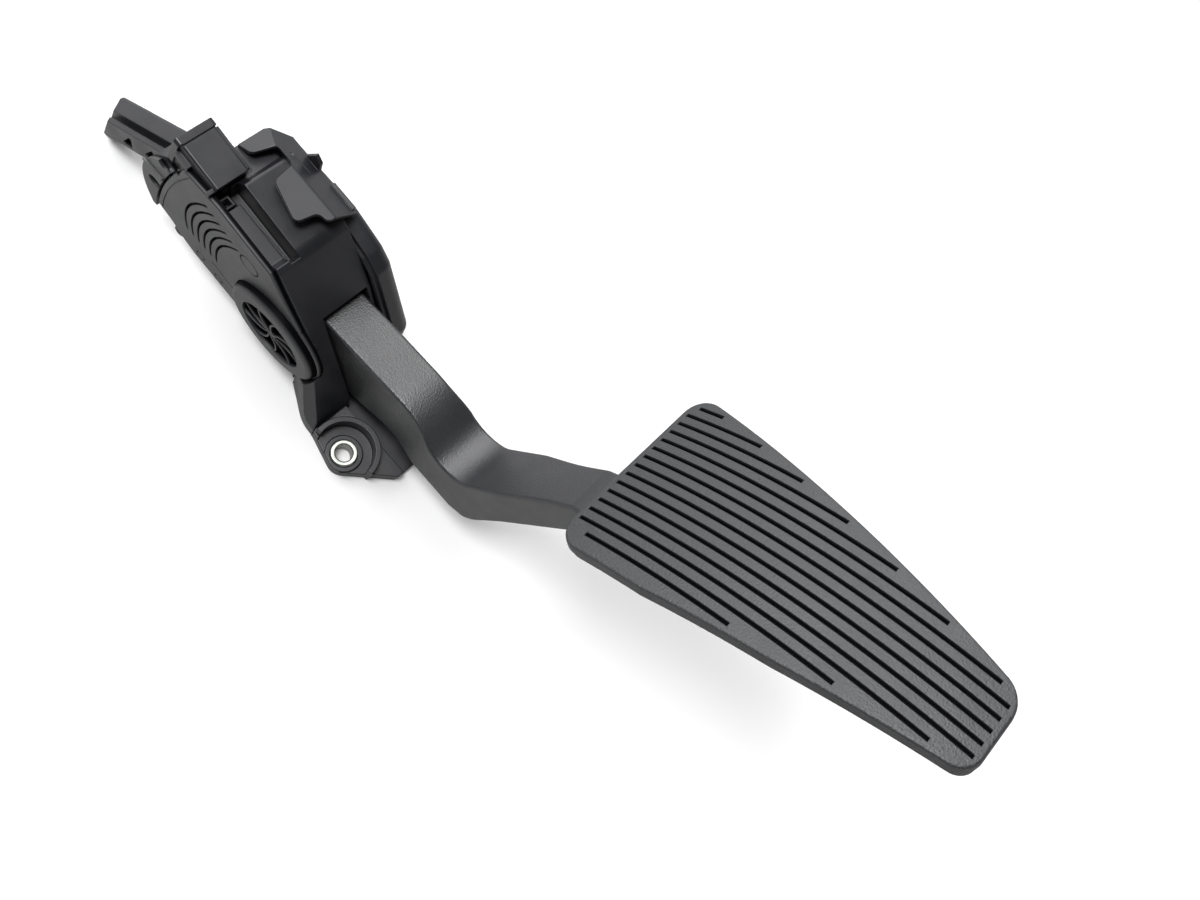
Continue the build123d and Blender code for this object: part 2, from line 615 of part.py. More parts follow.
with BuildPart() as circuit_board:
    with BuildSketch(side(BOARD_FAR_Y)):
        outline(*BOARD_OUTLINE)
        with Locations(*BOARD_POSTS):
            Circle(1.2, mode=Mode.SUBTRACT)
    extrude(amount=BOARD_THICK)
save(circuit_board, "circuit_board")

with BuildPart() as hall_chips:
    with BuildSketch(at_pivot(BOARD_FAR_Y + CHIP[2])):
        with PolarLocations(CHIP_RING_R, 2):
            Rectangle(CHIP[0], CHIP[1])
    extrude(amount=CHIP[2])
save(hall_chips, "hall_chips")

with BuildPart() as board_capacitors:
    with BuildSketch(side(BOARD_FAR_Y + CAPACITOR[2])):
        with Locations(*CAPACITORS):
            Rectangle(CAPACITOR[0], CAPACITOR[1])
    extrude(amount=CAPACITOR[2])
save(board_capacitors, "board_capacitors")

# Connector socket: an open box facing away from the pad, with a collar round its mouth
COLLAR = 2.6
COLLAR_STEP = 1.0
COLLAR_LINE = 0.5                 # fine line between the collar and the top face
KEY = 1.2
STRIP_DROP = 5.0                  # strip's top below the socket's top
RAMP = (6.5, 2.7)                 # latch ramp, along the socket and high
RAMP_DROP = 5.0
HOOK = (1.6, 2.7, 2.2)            # hook at the back, along, across and high
HOOK_DROP = 2.2
PIN_SPACING = 3.6
PIN_SIZE = 0.8
PIN_START = 7.5                   # pin tips behind the mouth
PIN_TAIL = 0.8                    # pin ends before the socket's back
BACK_WALL = 2.4
SOCKET_MID = (SOCKET_NEAR_Y + SOCKET_WIDTH / 2, -SOCKET_HEIGHT / 2)

with BuildPart() as connector_socket:
    with BuildSketch(across_socket(0)):
        with Locations(SOCKET_MID):
            RectangleRounded(SOCKET_WIDTH, SOCKET_HEIGHT, radius=1.0)
    extrude(amount=SOCKET_LENGTH)
    with BuildSketch(across_socket(-COLLAR)):
        with Locations(SOCKET_MID):
            RectangleRounded(SOCKET_WIDTH + 2 * COLLAR_STEP, SOCKET_HEIGHT, radius=1.6)
    extrude(amount=COLLAR)
    # strips on both sides for the mating plug's latch, and a hook at the back
    with BuildSketch(across_socket(0)):
        with Locations((SOCKET_FAR_Y - 0.5, -SOCKET_HEIGHT)):
            Rectangle(FAR_STRIP + 0.5, SOCKET_HEIGHT - STRIP_DROP, align=(Align.MIN, Align.MIN))
    extrude(amount=SOCKET_LENGTH - 1)
    with BuildSketch(across_socket(0)):
        with Locations((SOCKET_NEAR_Y + 1, -RAMP_DROP)):
            Rectangle(3.0, RAMP[1], align=(Align.MAX, Align.MAX))
    extrude(amount=RAMP[0])
    with BuildSketch(across_socket(SOCKET_LENGTH - HOOK[0])):
        with Locations((SOCKET_NEAR_Y + 0.5, -HOOK_DROP)):
            Rectangle(HOOK[1] + 0.5, HOOK[2], align=(Align.MAX, Align.MAX))
    extrude(amount=HOOK[0])
    with BuildSketch(across_socket(0.3)):
        with Locations((SOCKET_MID[0], 0)):
            Rectangle(SOCKET_WIDTH + 1, 1.2)
    extrude(amount=COLLAR_LINE, mode=Mode.SUBTRACT)
    with BuildSketch(across_socket(-COLLAR - 1)):
        with Locations(SOCKET_MID):
            RectangleRounded(SOCKET_WIDTH - 2 * SOCKET_WALL, SOCKET_HEIGHT - 2 * SOCKET_WALL, radius=1.0)
        with Locations((SOCKET_MID[0], -SOCKET_WALL)):
            Rectangle(KEY, 2 * KEY, mode=Mode.SUBTRACT)
    extrude(amount=SOCKET_LENGTH - BACK_WALL + COLLAR + 1, mode=Mode.SUBTRACT)
    # bores of the pins
    with BuildSketch(across_socket(SOCKET_LENGTH - BACK_WALL - 1)):
        with Locations(SOCKET_MID):
            with GridLocations(PIN_SPACING, 2 * PIN_SPACING, 3, 2):
                Rectangle(PIN_SIZE, PIN_SIZE)
    extrude(amount=BACK_WALL + 1 - PIN_TAIL, mode=Mode.SUBTRACT)
save(connector_socket, "connector_socket")

with BuildPart() as connector_pins:
    with BuildSketch(across_socket(PIN_START)):
        with Locations(SOCKET_MID):
            with GridLocations(PIN_SPACING, 2 * PIN_SPACING, 3, 2):
                Rectangle(PIN_SIZE, PIN_SIZE)
    extrude(amount=SOCKET_LENGTH - PIN_TAIL - PIN_START)
    chamfer(connector_pins.faces().sort_by(Axis.X)[:6].edges(), length=0.2)
save(connector_pins, "connector_pins")

# Pedal arm, hollow and open at the back
ARM_FRONT = ((-46.0, 56.5), (10.0, 64.2), (36.0, 47.8), (71.5, 150.0))
ARM_TOP = ((122.0, 194.0), (118.5, 182.0), (100.0, 161.5), (82.0, 136.0))
ARM_BACK = ((72.8, 117.0), (54.0, 31.5), (44.0, 25.0), (3.0, 25.2), (-16.0, 15.8), (-38.0, 17.5))
CREST_R = 27.0
VALLEY_R = 13.0
FLARE_X = (5.0, 21.0, 51.0, 62.0)
STUB_END_Y = ARM_NEAR_Y - 3.3
HOLLOW_START_X = -6.0
RIB_PITCH = 17.0
RIB_THICK = 2.0

with BuildPart() as arm_hollow:
    with BuildSketch(side(ARM_FAR_Y - ARM_SKIN + 0.2)):
        outline(
            (HOLLOW_START_X, 10.0), (HOLLOW_START_X, 59.0), (9.0, 60.5), (32.0, 46.5), (42.0, 51.0), (72.0, 136.0),
            (112.0, 180.0), (112.0, 160.0), (80.0, 100.0), (60.0, 10.0),
        )
        fillet(vertices().sort_by_distance((9.0, 60.5))[0], radius=CREST_R - ARM_SKIN)
        fillet(vertices().sort_by_distance((32.0, 46.5))[0], radius=8.0)
    extrude(amount=ARM_WIDTH - 2 * ARM_SKIN + 0.4)
    # ribs across the hollow
    for index in range(4):
        with BuildSketch(Plane.XY):
            with Locations((HOLLOW_START_X + 13.0 + index * RIB_PITCH * 0.8, ARM_MID_Y)):
                Rectangle(RIB_THICK, ARM_WIDTH, rotation=25 * (-1) ** index)
        extrude(amount=80, mode=Mode.SUBTRACT)
    for index in range(5):
        with BuildSketch(Plane.YZ.offset(40)):
            with Locations((ARM_MID_Y, 62.0 + index * RIB_PITCH)):
                Rectangle(ARM_WIDTH, RIB_THICK, rotation=25 * (-1) ** index)
        extrude(amount=80, mode=Mode.SUBTRACT)

with BuildPart() as pedal_arm:
    with BuildSketch(side(ARM_FAR_Y + ARM_FLARE)):
        outline(*ARM_FRONT, *ARM_TOP, *ARM_BACK)
        fillet(vertices().sort_by_distance(ARM_FRONT[1])[0], radius=CREST_R)
        fillet(vertices().sort_by_distance(ARM_FRONT[2])[0], radius=VALLEY_R)
        fillet(vertices().sort_by_distance(ARM_BACK[1])[0], radius=14.0)
        fillet(vertices().sort_by_distance(ARM_BACK[3])[0], radius=10.0)
    extrude(amount=ARM_WIDTH + 2 * ARM_FLARE)
    # seen from the front the arm is straight, with a wider part in the bend
    with BuildSketch(Plane.XY):
        with BuildLine():
            Spline(
                (FLARE_X[0], ARM_FAR_Y), (FLARE_X[1], ARM_FAR_Y + ARM_FLARE), (FLARE_X[2], ARM_FAR_Y + ARM_FLARE),
                (FLARE_X[3], ARM_FAR_Y), tangents=((1, 0), (1, 0)),
            )
            Line((FLARE_X[3], ARM_FAR_Y), (140, ARM_FAR_Y))
            Line((140, ARM_FAR_Y), (140, ARM_NEAR_Y))
            Line((140, ARM_NEAR_Y), (FLARE_X[3], ARM_NEAR_Y))
            Spline(
                (FLARE_X[3], ARM_NEAR_Y), (FLARE_X[2], ARM_NEAR_Y - ARM_FLARE), (FLARE_X[1], ARM_NEAR_Y - ARM_FLARE),
                (FLARE_X[0], ARM_NEAR_Y), tangents=((-1, 0), (-1, 0)),
            )
            Polyline((FLARE_X[0], ARM_NEAR_Y), (-60, ARM_NEAR_Y), (-60, ARM_FAR_Y), (FLARE_X[0], ARM_FAR_Y))
        make_face()
    extrude(amount=240, mode=Mode.INTERSECT)
    # hub, its near stub and the inner lever
    with BuildSketch(at_pivot(ARM_FAR_Y)):
        Circle(HUB_R)
    extrude(amount=ARM_WIDTH)
    with BuildSketch(at_pivot(ARM_NEAR_Y)):
        Circle(STUB_R)
    extrude(amount=ARM_NEAR_Y - STUB_END_Y)
    with BuildSketch(side(ARM_MID_Y + LEVER_WIDTH / 2)):
        with Locations((NOSE_X, LEVER_Z)):
            Circle(LEVER_NOSE_R)
        outline(
            (NOSE_X, LEVER_Z + 3.3), (-74, LEVER_Z + 3.3), (PIVOT_X - 12, LEVER_Z + 10), (PIVOT_X, LEVER_Z + 12),
            (PIVOT_X, LEVER_Z - 12), (PIVOT_X - 14, LEVER_Z - 7), (NOSE_X + 6, LEVER_Z - 3.6), (NOSE_X, LEVER_Z - 3.6),
        )
    extrude(amount=LEVER_WIDTH)
    add(arm_hollow.part, mode=Mode.SUBTRACT)
    # room for the pad's plate, and the shaft's bore
    with BuildSketch(side(80)):
        with Locations(PAD_CENTRE):
            Circle(PAD_R + 20)
            Circle(PAD_R - PAD_TREAD - PAD_PLATE, mode=Mode.SUBTRACT)
        with Locations((0, 110)):
            Rectangle(300, 300, align=(Align.MIN, Align.MIN), mode=Mode.INTERSECT)
    extrude(amount=100, mode=Mode.SUBTRACT)
    with BuildSketch(at_pivot(ARM_FAR_Y + 1)):
        Circle(SHAFT_R)
    extrude(amount=ARM_WIDTH, mode=Mode.SUBTRACT)
save(pedal_arm, "pedal_arm")

# Shaft pressed into the hub, running in a bush on the far side
with BuildPart() as pivot_shaft:
    with BuildSketch(at_pivot(BEARING_END_Y - 0.8)):
        Circle(SHAFT_R)
    extrude(amount=BEARING_END_Y - 0.8 - ARM_NEAR_Y - 1)
    chamfer(pivot_shaft.edges().filter_by(GeomType.CIRCLE), length=0.5)
save(pivot_shaft, "pivot_shaft")

with BuildPart() as far_bush:
    with BuildSketch(at_pivot(BEARING_END_Y - 0.2)):
        Circle(FAR_BUSH_R)
        Circle(SHAFT_R + RUNNING_FIT, mode=Mode.SUBTRACT)
    extrude(amount=BEARING_END_Y - 0.2 - SLOT_FAR_Y)
save(far_bush, "far_bush")

with BuildPart() as near_bush:
    with BuildSketch(at_pivot(SLOT_NEAR_Y)):
        Circle(NEAR_BUSH_R)
        Circle(STUB_R + RUNNING_FIT, mode=Mode.SUBTRACT)
    extrude(amount=NEAR_WEB)
    with BuildSketch(at_pivot(SLOT_NEAR_Y + 0.6)):
        Circle(NEAR_BUSH_R + 2.0)
        Circle(STUB_R + RUNNING_FIT, mode=Mode.SUBTRACT)
    extrude(amount=0.6)
save(near_bush, "near_bush")

# Rotor on the end of the stub: a carrier holding the sensor's ring magnet
CARRIER_R = 11.4
CARRIER_THICK = 1.9
MAGNET_R = (6.0, 9.5)
MAGNET_DEPTH = 1.2

with BuildPart() as rotor_carrier:
    with BuildSketch(at_pivot(STUB_END_Y)):
        Circle(CARRIER_R)
    extrude(amount=CARRIER_THICK)
    with BuildSketch(at_pivot(STUB_END_Y - CARRIER_THICK + MAGNET_DEPTH)):
        Circle(MAGNET_R[1])
        Circle(MAGNET_R[0], mode=Mode.SUBTRACT)
    extrude(amount=MAGNET_DEPTH, mode=Mode.SUBTRACT)
save(rotor_carrier, "rotor_carrier")

with BuildPart() as rotor_magnet:
    with BuildSketch(at_pivot(STUB_END_Y - CARRIER_THICK + MAGNET_DEPTH)):
        Circle(MAGNET_R[1])
        Circle(MAGNET_R[0], mode=Mode.SUBTRACT)
    extrude(amount=MAGNET_DEPTH)
save(rotor_magnet, "rotor_magnet")

# Friction plunger, lifted by the lever against two springs
with BuildPart() as friction_plunger:
    with BuildSketch(Plane.XY.offset(PLUNGER_Z)):
        with Locations((NOSE_X, ARM_MID_Y)):
            Circle(PLUNGER_R)
    extrude(amount=PLUNGER_HEIGHT)
    with BuildSketch(Plane.XY.offset(SPRING_FOOT_Z)):
        with Locations((NOSE_X, ARM_MID_Y)):
            Circle(PLUNGER_R - PLUNGER_WALL)
    extrude(amount=PLUNGER_HEIGHT, mode=Mode.SUBTRACT)
    # expanding slots in the cup's wall
    with BuildSketch(Plane.XY.offset(SPRING_FOOT_Z + 2.0)):
        with Locations((NOSE_X, ARM_MID_Y)):
            Rectangle(30, 1.2)
            Rectangle(1.2, 30)
    extrude(amount=PLUNGER_HEIGHT, mode=Mode.SUBTRACT)
save(friction_plunger, "friction_plunger")


for name, coil_r, wire_r, turns in (
    ("outer_return_spring", OUTER_COIL_R, OUTER_WIRE_R, OUTER_TURNS),
    ("inner_return_spring", INNER_COIL_R, INNER_WIRE_R, INNER_TURNS),
):
    length = SPRING_TOP_Z - SPRING_FOOT_Z - 2 * wire_r
    with BuildPart() as spring:
        foot_of_wire = (NOSE_X, ARM_MID_Y, SPRING_FOOT_Z + wire_r)
        with BuildLine():
            wire = Helix(pitch=length / turns, height=length, radius=coil_r, center=foot_of_wire)
        with BuildSketch(Plane(origin=wire @ 0, z_dir=wire % 0)):
            Circle(wire_r)
        sweep(is_frenet=True)
    save(spring, name)

with BuildPart() as spring_seat:
    with BuildSketch(Plane.XY.offset(SPRING_TOP_Z)):
        with Locations((NOSE_X, ARM_MID_Y)):
            Circle(PLUNGER_R)
    extrude(amount=SEAT_THICK)
    with BuildSketch(Plane.XY.offset(SPRING_TOP_Z - 2.0)):
        with Locations((NOSE_X, ARM_MID_Y)):
            Circle(INNER_COIL_R - INNER_WIRE_R - 0.5)
    extrude(amount=2.0)
save(spring_seat, "spring_seat")

# Rubber stops at both ends of the travel
IDLE_STOP = (8.0, 12.0)
BUMPER_X = -23.0
BUMPER = (9.0, 13.0)
BUMPER_HEIGHT = 3.6

with BuildPart() as idle_stop:
    with BuildSketch(Plane.XY.offset(LEVER_FLOOR_Z)):
        with Locations((NOSE_X, ARM_MID_Y)):
            RectangleRounded(*IDLE_STOP, radius=1.5)
    extrude(amount=LEVER_Z - LEVER_NOSE_R - FACE_GAP - LEVER_FLOOR_Z)
save(idle_stop, "idle_stop")

with BuildPart() as stop_bumper:
    with BuildSketch(Plane.XY.offset(UNDER_ARM_PLATE)):
        with Locations((BUMPER_X, ARM_MID_Y)):
            RectangleRounded(*BUMPER, radius=1.5)
    extrude(amount=BUMPER_HEIGHT)
save(stop_bumper, "stop_bumper")

# Pad: a curved plate on the arm, with a grooved tread over it
PAD_NEAR_EDGE = ((0, 2.3), (36.0, 2.6), (78.0, 7.2), (PAD_LENGTH, 16.1))
PAD_FAR_EDGE = ((0, 73.2), (58.0, 60.0), (PAD_LENGTH, 43.2))
PAD_CORNERS = (
    (PAD_NEAR_EDGE[0], 10.0), (PAD_NEAR_EDGE[-1], 6.5), (PAD_FAR_EDGE[-1], 6.5), (PAD_FAR_EDGE[0], 9.5),
)
PAD_MID_ANGLE = PAD_WIDE_ANGLE - degrees(PAD_LENGTH / PAD_R) / 2
PLATE_INSET = 0.7
CURVE_SHARES = (-0.05, 0.15, 0.38, 0.62, 0.85, 1.05)


def pad_plane(radius):
    """Plane touching the pad's circle at its middle; sketch axes run down the pad and across it."""
    angle = radians(PAD_MID_ANGLE)
    return Plane(
        origin=(PAD_CENTRE[0] + radius * cos(angle), 0, PAD_CENTRE[1] + radius * sin(angle)),
        x_dir=(sin(angle), 0, -cos(angle)),
        z_dir=(cos(angle), 0, sin(angle)),
    )


def on_pad(point):
    """Sketch position of a point given by its distance down the pad's curve and its Y."""
    return (PAD_R * sin((point[0] - PAD_LENGTH / 2) / PAD_R), point[1])


def reach(edge, y):
    """How far down the pad an edge of its outline gets before it crosses a line at that Y."""
    for first, second in zip(edge, edge[1:]):
        if min(first[1], second[1]) <= y <= max(first[1], second[1]):
            return first[0] + (y - first[1]) * (second[0] - first[0]) / (second[1] - first[1])
    return PAD_LENGTH


def on_arc(share, radius):
    """Point so far down the pad, as a share of its length, on an arc of that radius."""
    angle = radians(PAD_WIDE_ANGLE) - share * PAD_LENGTH / PAD_R
    return (PAD_CENTRE[0] + radius * cos(angle), PAD_CENTRE[1] + radius * sin(angle))


with BuildSketch() as pad_shape:
    outline(*[on_pad(point) for point in (*PAD_NEAR_EDGE, *reversed(PAD_FAR_EDGE))])
    for point, radius in PAD_CORNERS:
        fillet(pad_shape.vertices().sort_by_distance(on_pad(point))[0], radius=radius)

with BuildPart() as pad_plate:
    with BuildSketch(pad_plane(PAD_R)):
        add(pad_shape.sketch)
        offset(amount=-PLATE_INSET, kind=Kind.INTERSECTION)
    extrude(amount=30, both=True)
    with BuildSketch(side(100)):
        with Locations(PAD_CENTRE):
            Circle(PAD_R - PAD_TREAD)
            Circle(PAD_R - PAD_TREAD - PAD_PLATE, mode=Mode.SUBTRACT)
    extrude(amount=120, mode=Mode.INTERSECT)
save(pad_plate, "pad_plate")

with BuildPart() as grooves:
    with BuildSketch(pad_plane(PAD_R)):
        for index in range(GROOVE_COUNT):
            y = GROOVE_FAR_Y - index * GROOVE_PITCH
            start = GROOVE_MARGIN
            if index == 0:
                start = GROOVE_CORNER_STARTS[0]
            if index == GROOVE_COUNT - 1:
                start = GROOVE_CORNER_STARTS[1]
            end = min(
                PAD_LENGTH - GROOVE_MARGIN,
                reach(PAD_FAR_EDGE, y + GROOVE_WIDTH / 2 + GROOVE_MARGIN),
                reach(PAD_NEAR_EDGE, y - GROOVE_WIDTH / 2 - GROOVE_MARGIN),
            )
            with Locations(on_pad((start, y))):
                Rectangle(
                    on_pad((end, y))[0] - on_pad((start, y))[0], GROOVE_WIDTH, align=(Align.MIN, Align.CENTER),
                )
    extrude(amount=30, both=True)
    with BuildSketch(side(100)):
        with Locations(PAD_CENTRE):
            Circle(PAD_R + 30)
            Circle(PAD_R - GROOVE_DEPTH, mode=Mode.SUBTRACT)
    extrude(amount=120, mode=Mode.INTERSECT)

with BuildPart() as pad_tread:
    with BuildSketch(side(100)):
        with BuildLine():
            face_curve = Spline(*[on_arc(share, PAD_R) for share in CURVE_SHARES])
            back_curve = Spline(*[on_arc(share, PAD_R - PAD_TREAD) for share in CURVE_SHARES])
            Line(face_curve @ 0, back_curve @ 0)
            Line(face_curve @ 1, back_curve @ 1)
        make_face()
    extrude(amount=120)
    with BuildSketch(pad_plane(PAD_R)):
        add(pad_shape.sketch)
    extrude(amount=30, both=True, mode=Mode.INTERSECT)
    add(grooves.part, mode=Mode.SUBTRACT)
save(pad_tread, "pad_tread")

# Far cover: a shallow shell over the bearing, its rim seated on the housing
COVER_BODY = (
    (-61.5, 80.5), (-92.0, 78.0), (-100.0, 66.0), (-101.0, 40.0), (-92.0, 20.0), (-60.0, 13.0), (-36.0, 13.0),
    (-21.0, 30.0), (-21.4, 39.5), (-39.7, 70.5), (-46.0, 75.5),
)


def cover_outline(inset):
    """Fill the cover's outline, drawn in by the inset, inside the sketch that calls it."""
    outline(*COVER_BODY)
    fillet(vertices(), radius=5)
    if inset:
        offset(amount=-inset)


with BuildPart() as far_cover:
    with BuildSketch(side(FAR_COVER_FACE_Y)):
        cover_outline(0)
    extrude(amount=FAR_COVER_DEPTH)
    fillet(far_cover.edges().group_by(Axis.Y)[-1], radius=5)
    with BuildSketch(side(FAR_COVER_FACE_Y - SHELL_WALL)):
        cover_outline(2 * SHELL_WALL)
    extrude(amount=FAR_COVER_DEPTH, mode=Mode.SUBTRACT)
    with BuildSketch(side(FAR_COVER_NEAR_Y)):
        cover_outline(SHELL_WALL)
    extrude(amount=SHADOW_GAP)
    with BuildSketch(side(FAR_COVER_NEAR_Y)):
        cover_outline(2 * SHELL_WALL)
    extrude(amount=SHADOW_GAP + 1, mode=Mode.SUBTRACT)
save(far_cover, "far_cover")

# Shield: a bent sheet over the far top edge, standing on two posts
GUARD_PLAN = (
    (-99.5, -13.2), (-93.5, -12.7), (-90.2, -3.9), (-82.4, -3.9), (-81.0, -13.5), (-65.6, -17.7), (-63.8, -9.1),
    (-59.3, -8.3), (-59.3, 11.3), (-91.0, 11.3), (-99.5, -2.2),
)
GUARD_POSTS = ((-79.0, -6.7), (-67.0, -6.7))
GUARD_POST_R = 1.6
GUARD_POST_START_Z = 88.0
GUARD_LIP = (-73.5, -60.5)        # raised lip along the outer edge
GUARD_LIP_RISE = 2.6
GUARD_BUMP = (-87.0, -78.6)       # small peak on the outer edge
GUARD_BUMP_RISE = 9.0
GUARD_RIM_Z = 84.0


def from_skin(height):
    """Horizontal plane at a height, with its sketch Y measured from the front skin's far edge."""
    return Plane(origin=(0, SKIN_FAR_Y, height))


def under_guard(drop):
    """The space under the shield's bent surface, lowered by the drop."""
    fold = GUARD_FOLD - drop * (2 ** 0.5 - 1)
    with BuildPart() as space:
        with BuildSketch(side(60)):
            outline(
                (-110, 60), (-110, GUARD_RIM_Z - drop), (-99.5, 90.5 - drop), (-90, GUARD_TOP_Z - drop),
                (-40, GUARD_TOP_Z - drop), (-40, 60),
            )
            fillet(vertices().sort_by_distance((-90, GUARD_TOP_Z - drop))[0], radius=8)
        extrude(amount=60)
        with BuildSketch(Plane(origin=(0, SKIN_FAR_Y, 0), x_dir=(0, 1, 0), z_dir=(1, 0, 0))):
            outline(
                (-40, 60), (-40, GUARD_TOP_Z - drop), (fold, GUARD_TOP_Z - drop),
                (fold + 36, GUARD_TOP_Z - 36 - drop),
            )
            fillet(vertices().sort_by_distance((fold, GUARD_TOP_Z - drop))[0], radius=2.0)
        extrude(amount=130, both=True, mode=Mode.INTERSECT)
    return space.part


with BuildPart() as harness_guard:
    add(under_guard(0))
    with BuildSketch(from_skin(0)):
        outline(*GUARD_PLAN)
        for corner in GUARD_PLAN[1:8]:
            fillet(vertices().sort_by_distance(corner)[0], radius=2.4)
        with Locations((-110, GUARD_EDGE)):
            Rectangle(80, 20, align=(Align.MIN, Align.MIN), mode=Mode.SUBTRACT)
    extrude(amount=120, mode=Mode.INTERSECT)
    add(under_guard(GUARD_THICK), mode=Mode.SUBTRACT)
    with BuildSketch(from_skin(GUARD_POST_START_Z)):
        with Locations(*GUARD_POSTS):
            Circle(GUARD_POST_R)
    extrude(amount=GUARD_TOP_Z - GUARD_POST_START_Z - GUARD_THICK / 2)
    # lip and peak on the outer edge
    with BuildSketch(side(SKIN_FAR_Y + GUARD_EDGE)):
        outline(
            (GUARD_LIP[0], GUARD_RIM_Z - 1), (GUARD_LIP[0] + 1.5, GUARD_RIM_Z + GUARD_LIP_RISE),
            (GUARD_LIP[1], GUARD_RIM_Z + GUARD_LIP_RISE), (GUARD_LIP[1], GUARD_RIM_Z - 1),
        )
        outline(
            (GUARD_BUMP[0], GUARD_RIM_Z - 1), (GUARD_BUMP[0] + 5.5, GUARD_RIM_Z + GUARD_BUMP_RISE),
            (GUARD_BUMP[1], GUARD_RIM_Z + 0.7 * GUARD_BUMP_RISE), (GUARD_BUMP[1], GUARD_RIM_Z - 1),
        )
    extrude(amount=GUARD_THICK)
    add(housing_body.part, mode=Mode.SUBTRACT)
save(harness_guard, "harness_guard")
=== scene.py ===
"""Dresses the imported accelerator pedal: rounded mouldings, their finishes, and a white studio."""
import logging
import math
from dataclasses import dataclass, field
from enum import Enum
from typing import Callable, Iterable

import bmesh
import bpy
from mathutils import Matrix, Vector


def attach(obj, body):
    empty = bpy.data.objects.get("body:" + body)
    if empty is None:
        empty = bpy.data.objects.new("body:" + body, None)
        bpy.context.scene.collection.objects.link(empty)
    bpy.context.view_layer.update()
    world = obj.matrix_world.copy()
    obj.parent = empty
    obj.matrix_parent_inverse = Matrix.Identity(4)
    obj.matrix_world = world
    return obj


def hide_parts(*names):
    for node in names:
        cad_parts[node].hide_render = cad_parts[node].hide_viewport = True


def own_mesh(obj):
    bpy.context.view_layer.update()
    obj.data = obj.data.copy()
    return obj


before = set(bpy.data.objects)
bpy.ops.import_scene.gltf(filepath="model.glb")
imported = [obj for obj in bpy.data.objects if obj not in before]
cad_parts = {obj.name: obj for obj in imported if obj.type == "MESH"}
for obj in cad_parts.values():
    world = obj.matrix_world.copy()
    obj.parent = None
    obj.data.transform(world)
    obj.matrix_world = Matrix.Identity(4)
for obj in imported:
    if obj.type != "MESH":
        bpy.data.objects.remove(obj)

LOG = logging.getLogger("pedal")
# Name of a vertex attribute that marks painted shade in recesses and groove floors.
PAINTED_SHADE_ATTRIBUTE = "painted_shade"

MM = 0.001
WELD = 2e-6
ROUND_PROFILE = 0.5
PARABOLA_PEAK = 4.0  # makes share * (1 - share) reach 1 halfway

# How the shared groups look; each range is stretched to 0 to 1.
GRAIN_DETAIL = 3.0
GRAIN_ROUGHNESS = 0.6
GRAIN_CELL_SHARE = 0.45
GRAIN_RANGE = (0.2, 1.1)
SPECK_RANGE = (0.62, 0.78)
FLOW_DETAIL = 4.0
FLOW_RANGE = (0.35, 0.65)
MARKS_DETAIL = 4.0
MARKS_SQUEEZE = (0.25, 0.25, 3.0)
DUST_RANGE = (0.055, 0.030)
DUST_COLOUR = (0.16, 0.16, 0.15)
# Painted shade in recesses: the marked range, stretched to 0 to 1, and the specular level where the shade
# is full.
PAINTED_SHADE_RANGE = (0.1, 0.9)
PAINTED_SHADE_SPECULAR = 0.03

# Limits on parts of unit normals and directions, which tell edges apart.
SIDE_FACING = 0.9
FRONT_TURN = 0.4
FRONT_RISE = 0.15
DEPTH_RUN = 0.98

Socket = bpy.types.NodeSocket
Shape = bmesh.types.BMesh
Edge = bmesh.types.BMEdge
Point = tuple[float, float, float]
Colour = tuple[float, float, float]
Choice = Callable[[Edge], bool]


class Body(Enum):
    """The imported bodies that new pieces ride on."""

    HOUSING = "housing"
    PEDAL = "pedal"


class Slot(Enum):
    """The record's material slots."""

    ARM = "arm_plastic"
    TREAD = "tread"
    HOUSING = "housing_plastic"
    COVER = "cover_plastic"
    SLEEVE = "sleeve_steel"
    SPRING = "spring_steel"
    SHAFT = "shaft_steel"
    BUSH = "bush_plastic"
    RUBBER = "rubber"
    BOARD = "board"
    CHIP = "chip"
    CERAMIC = "ceramic"
    PIN = "pin_brass"
    MAGNET = "magnet"


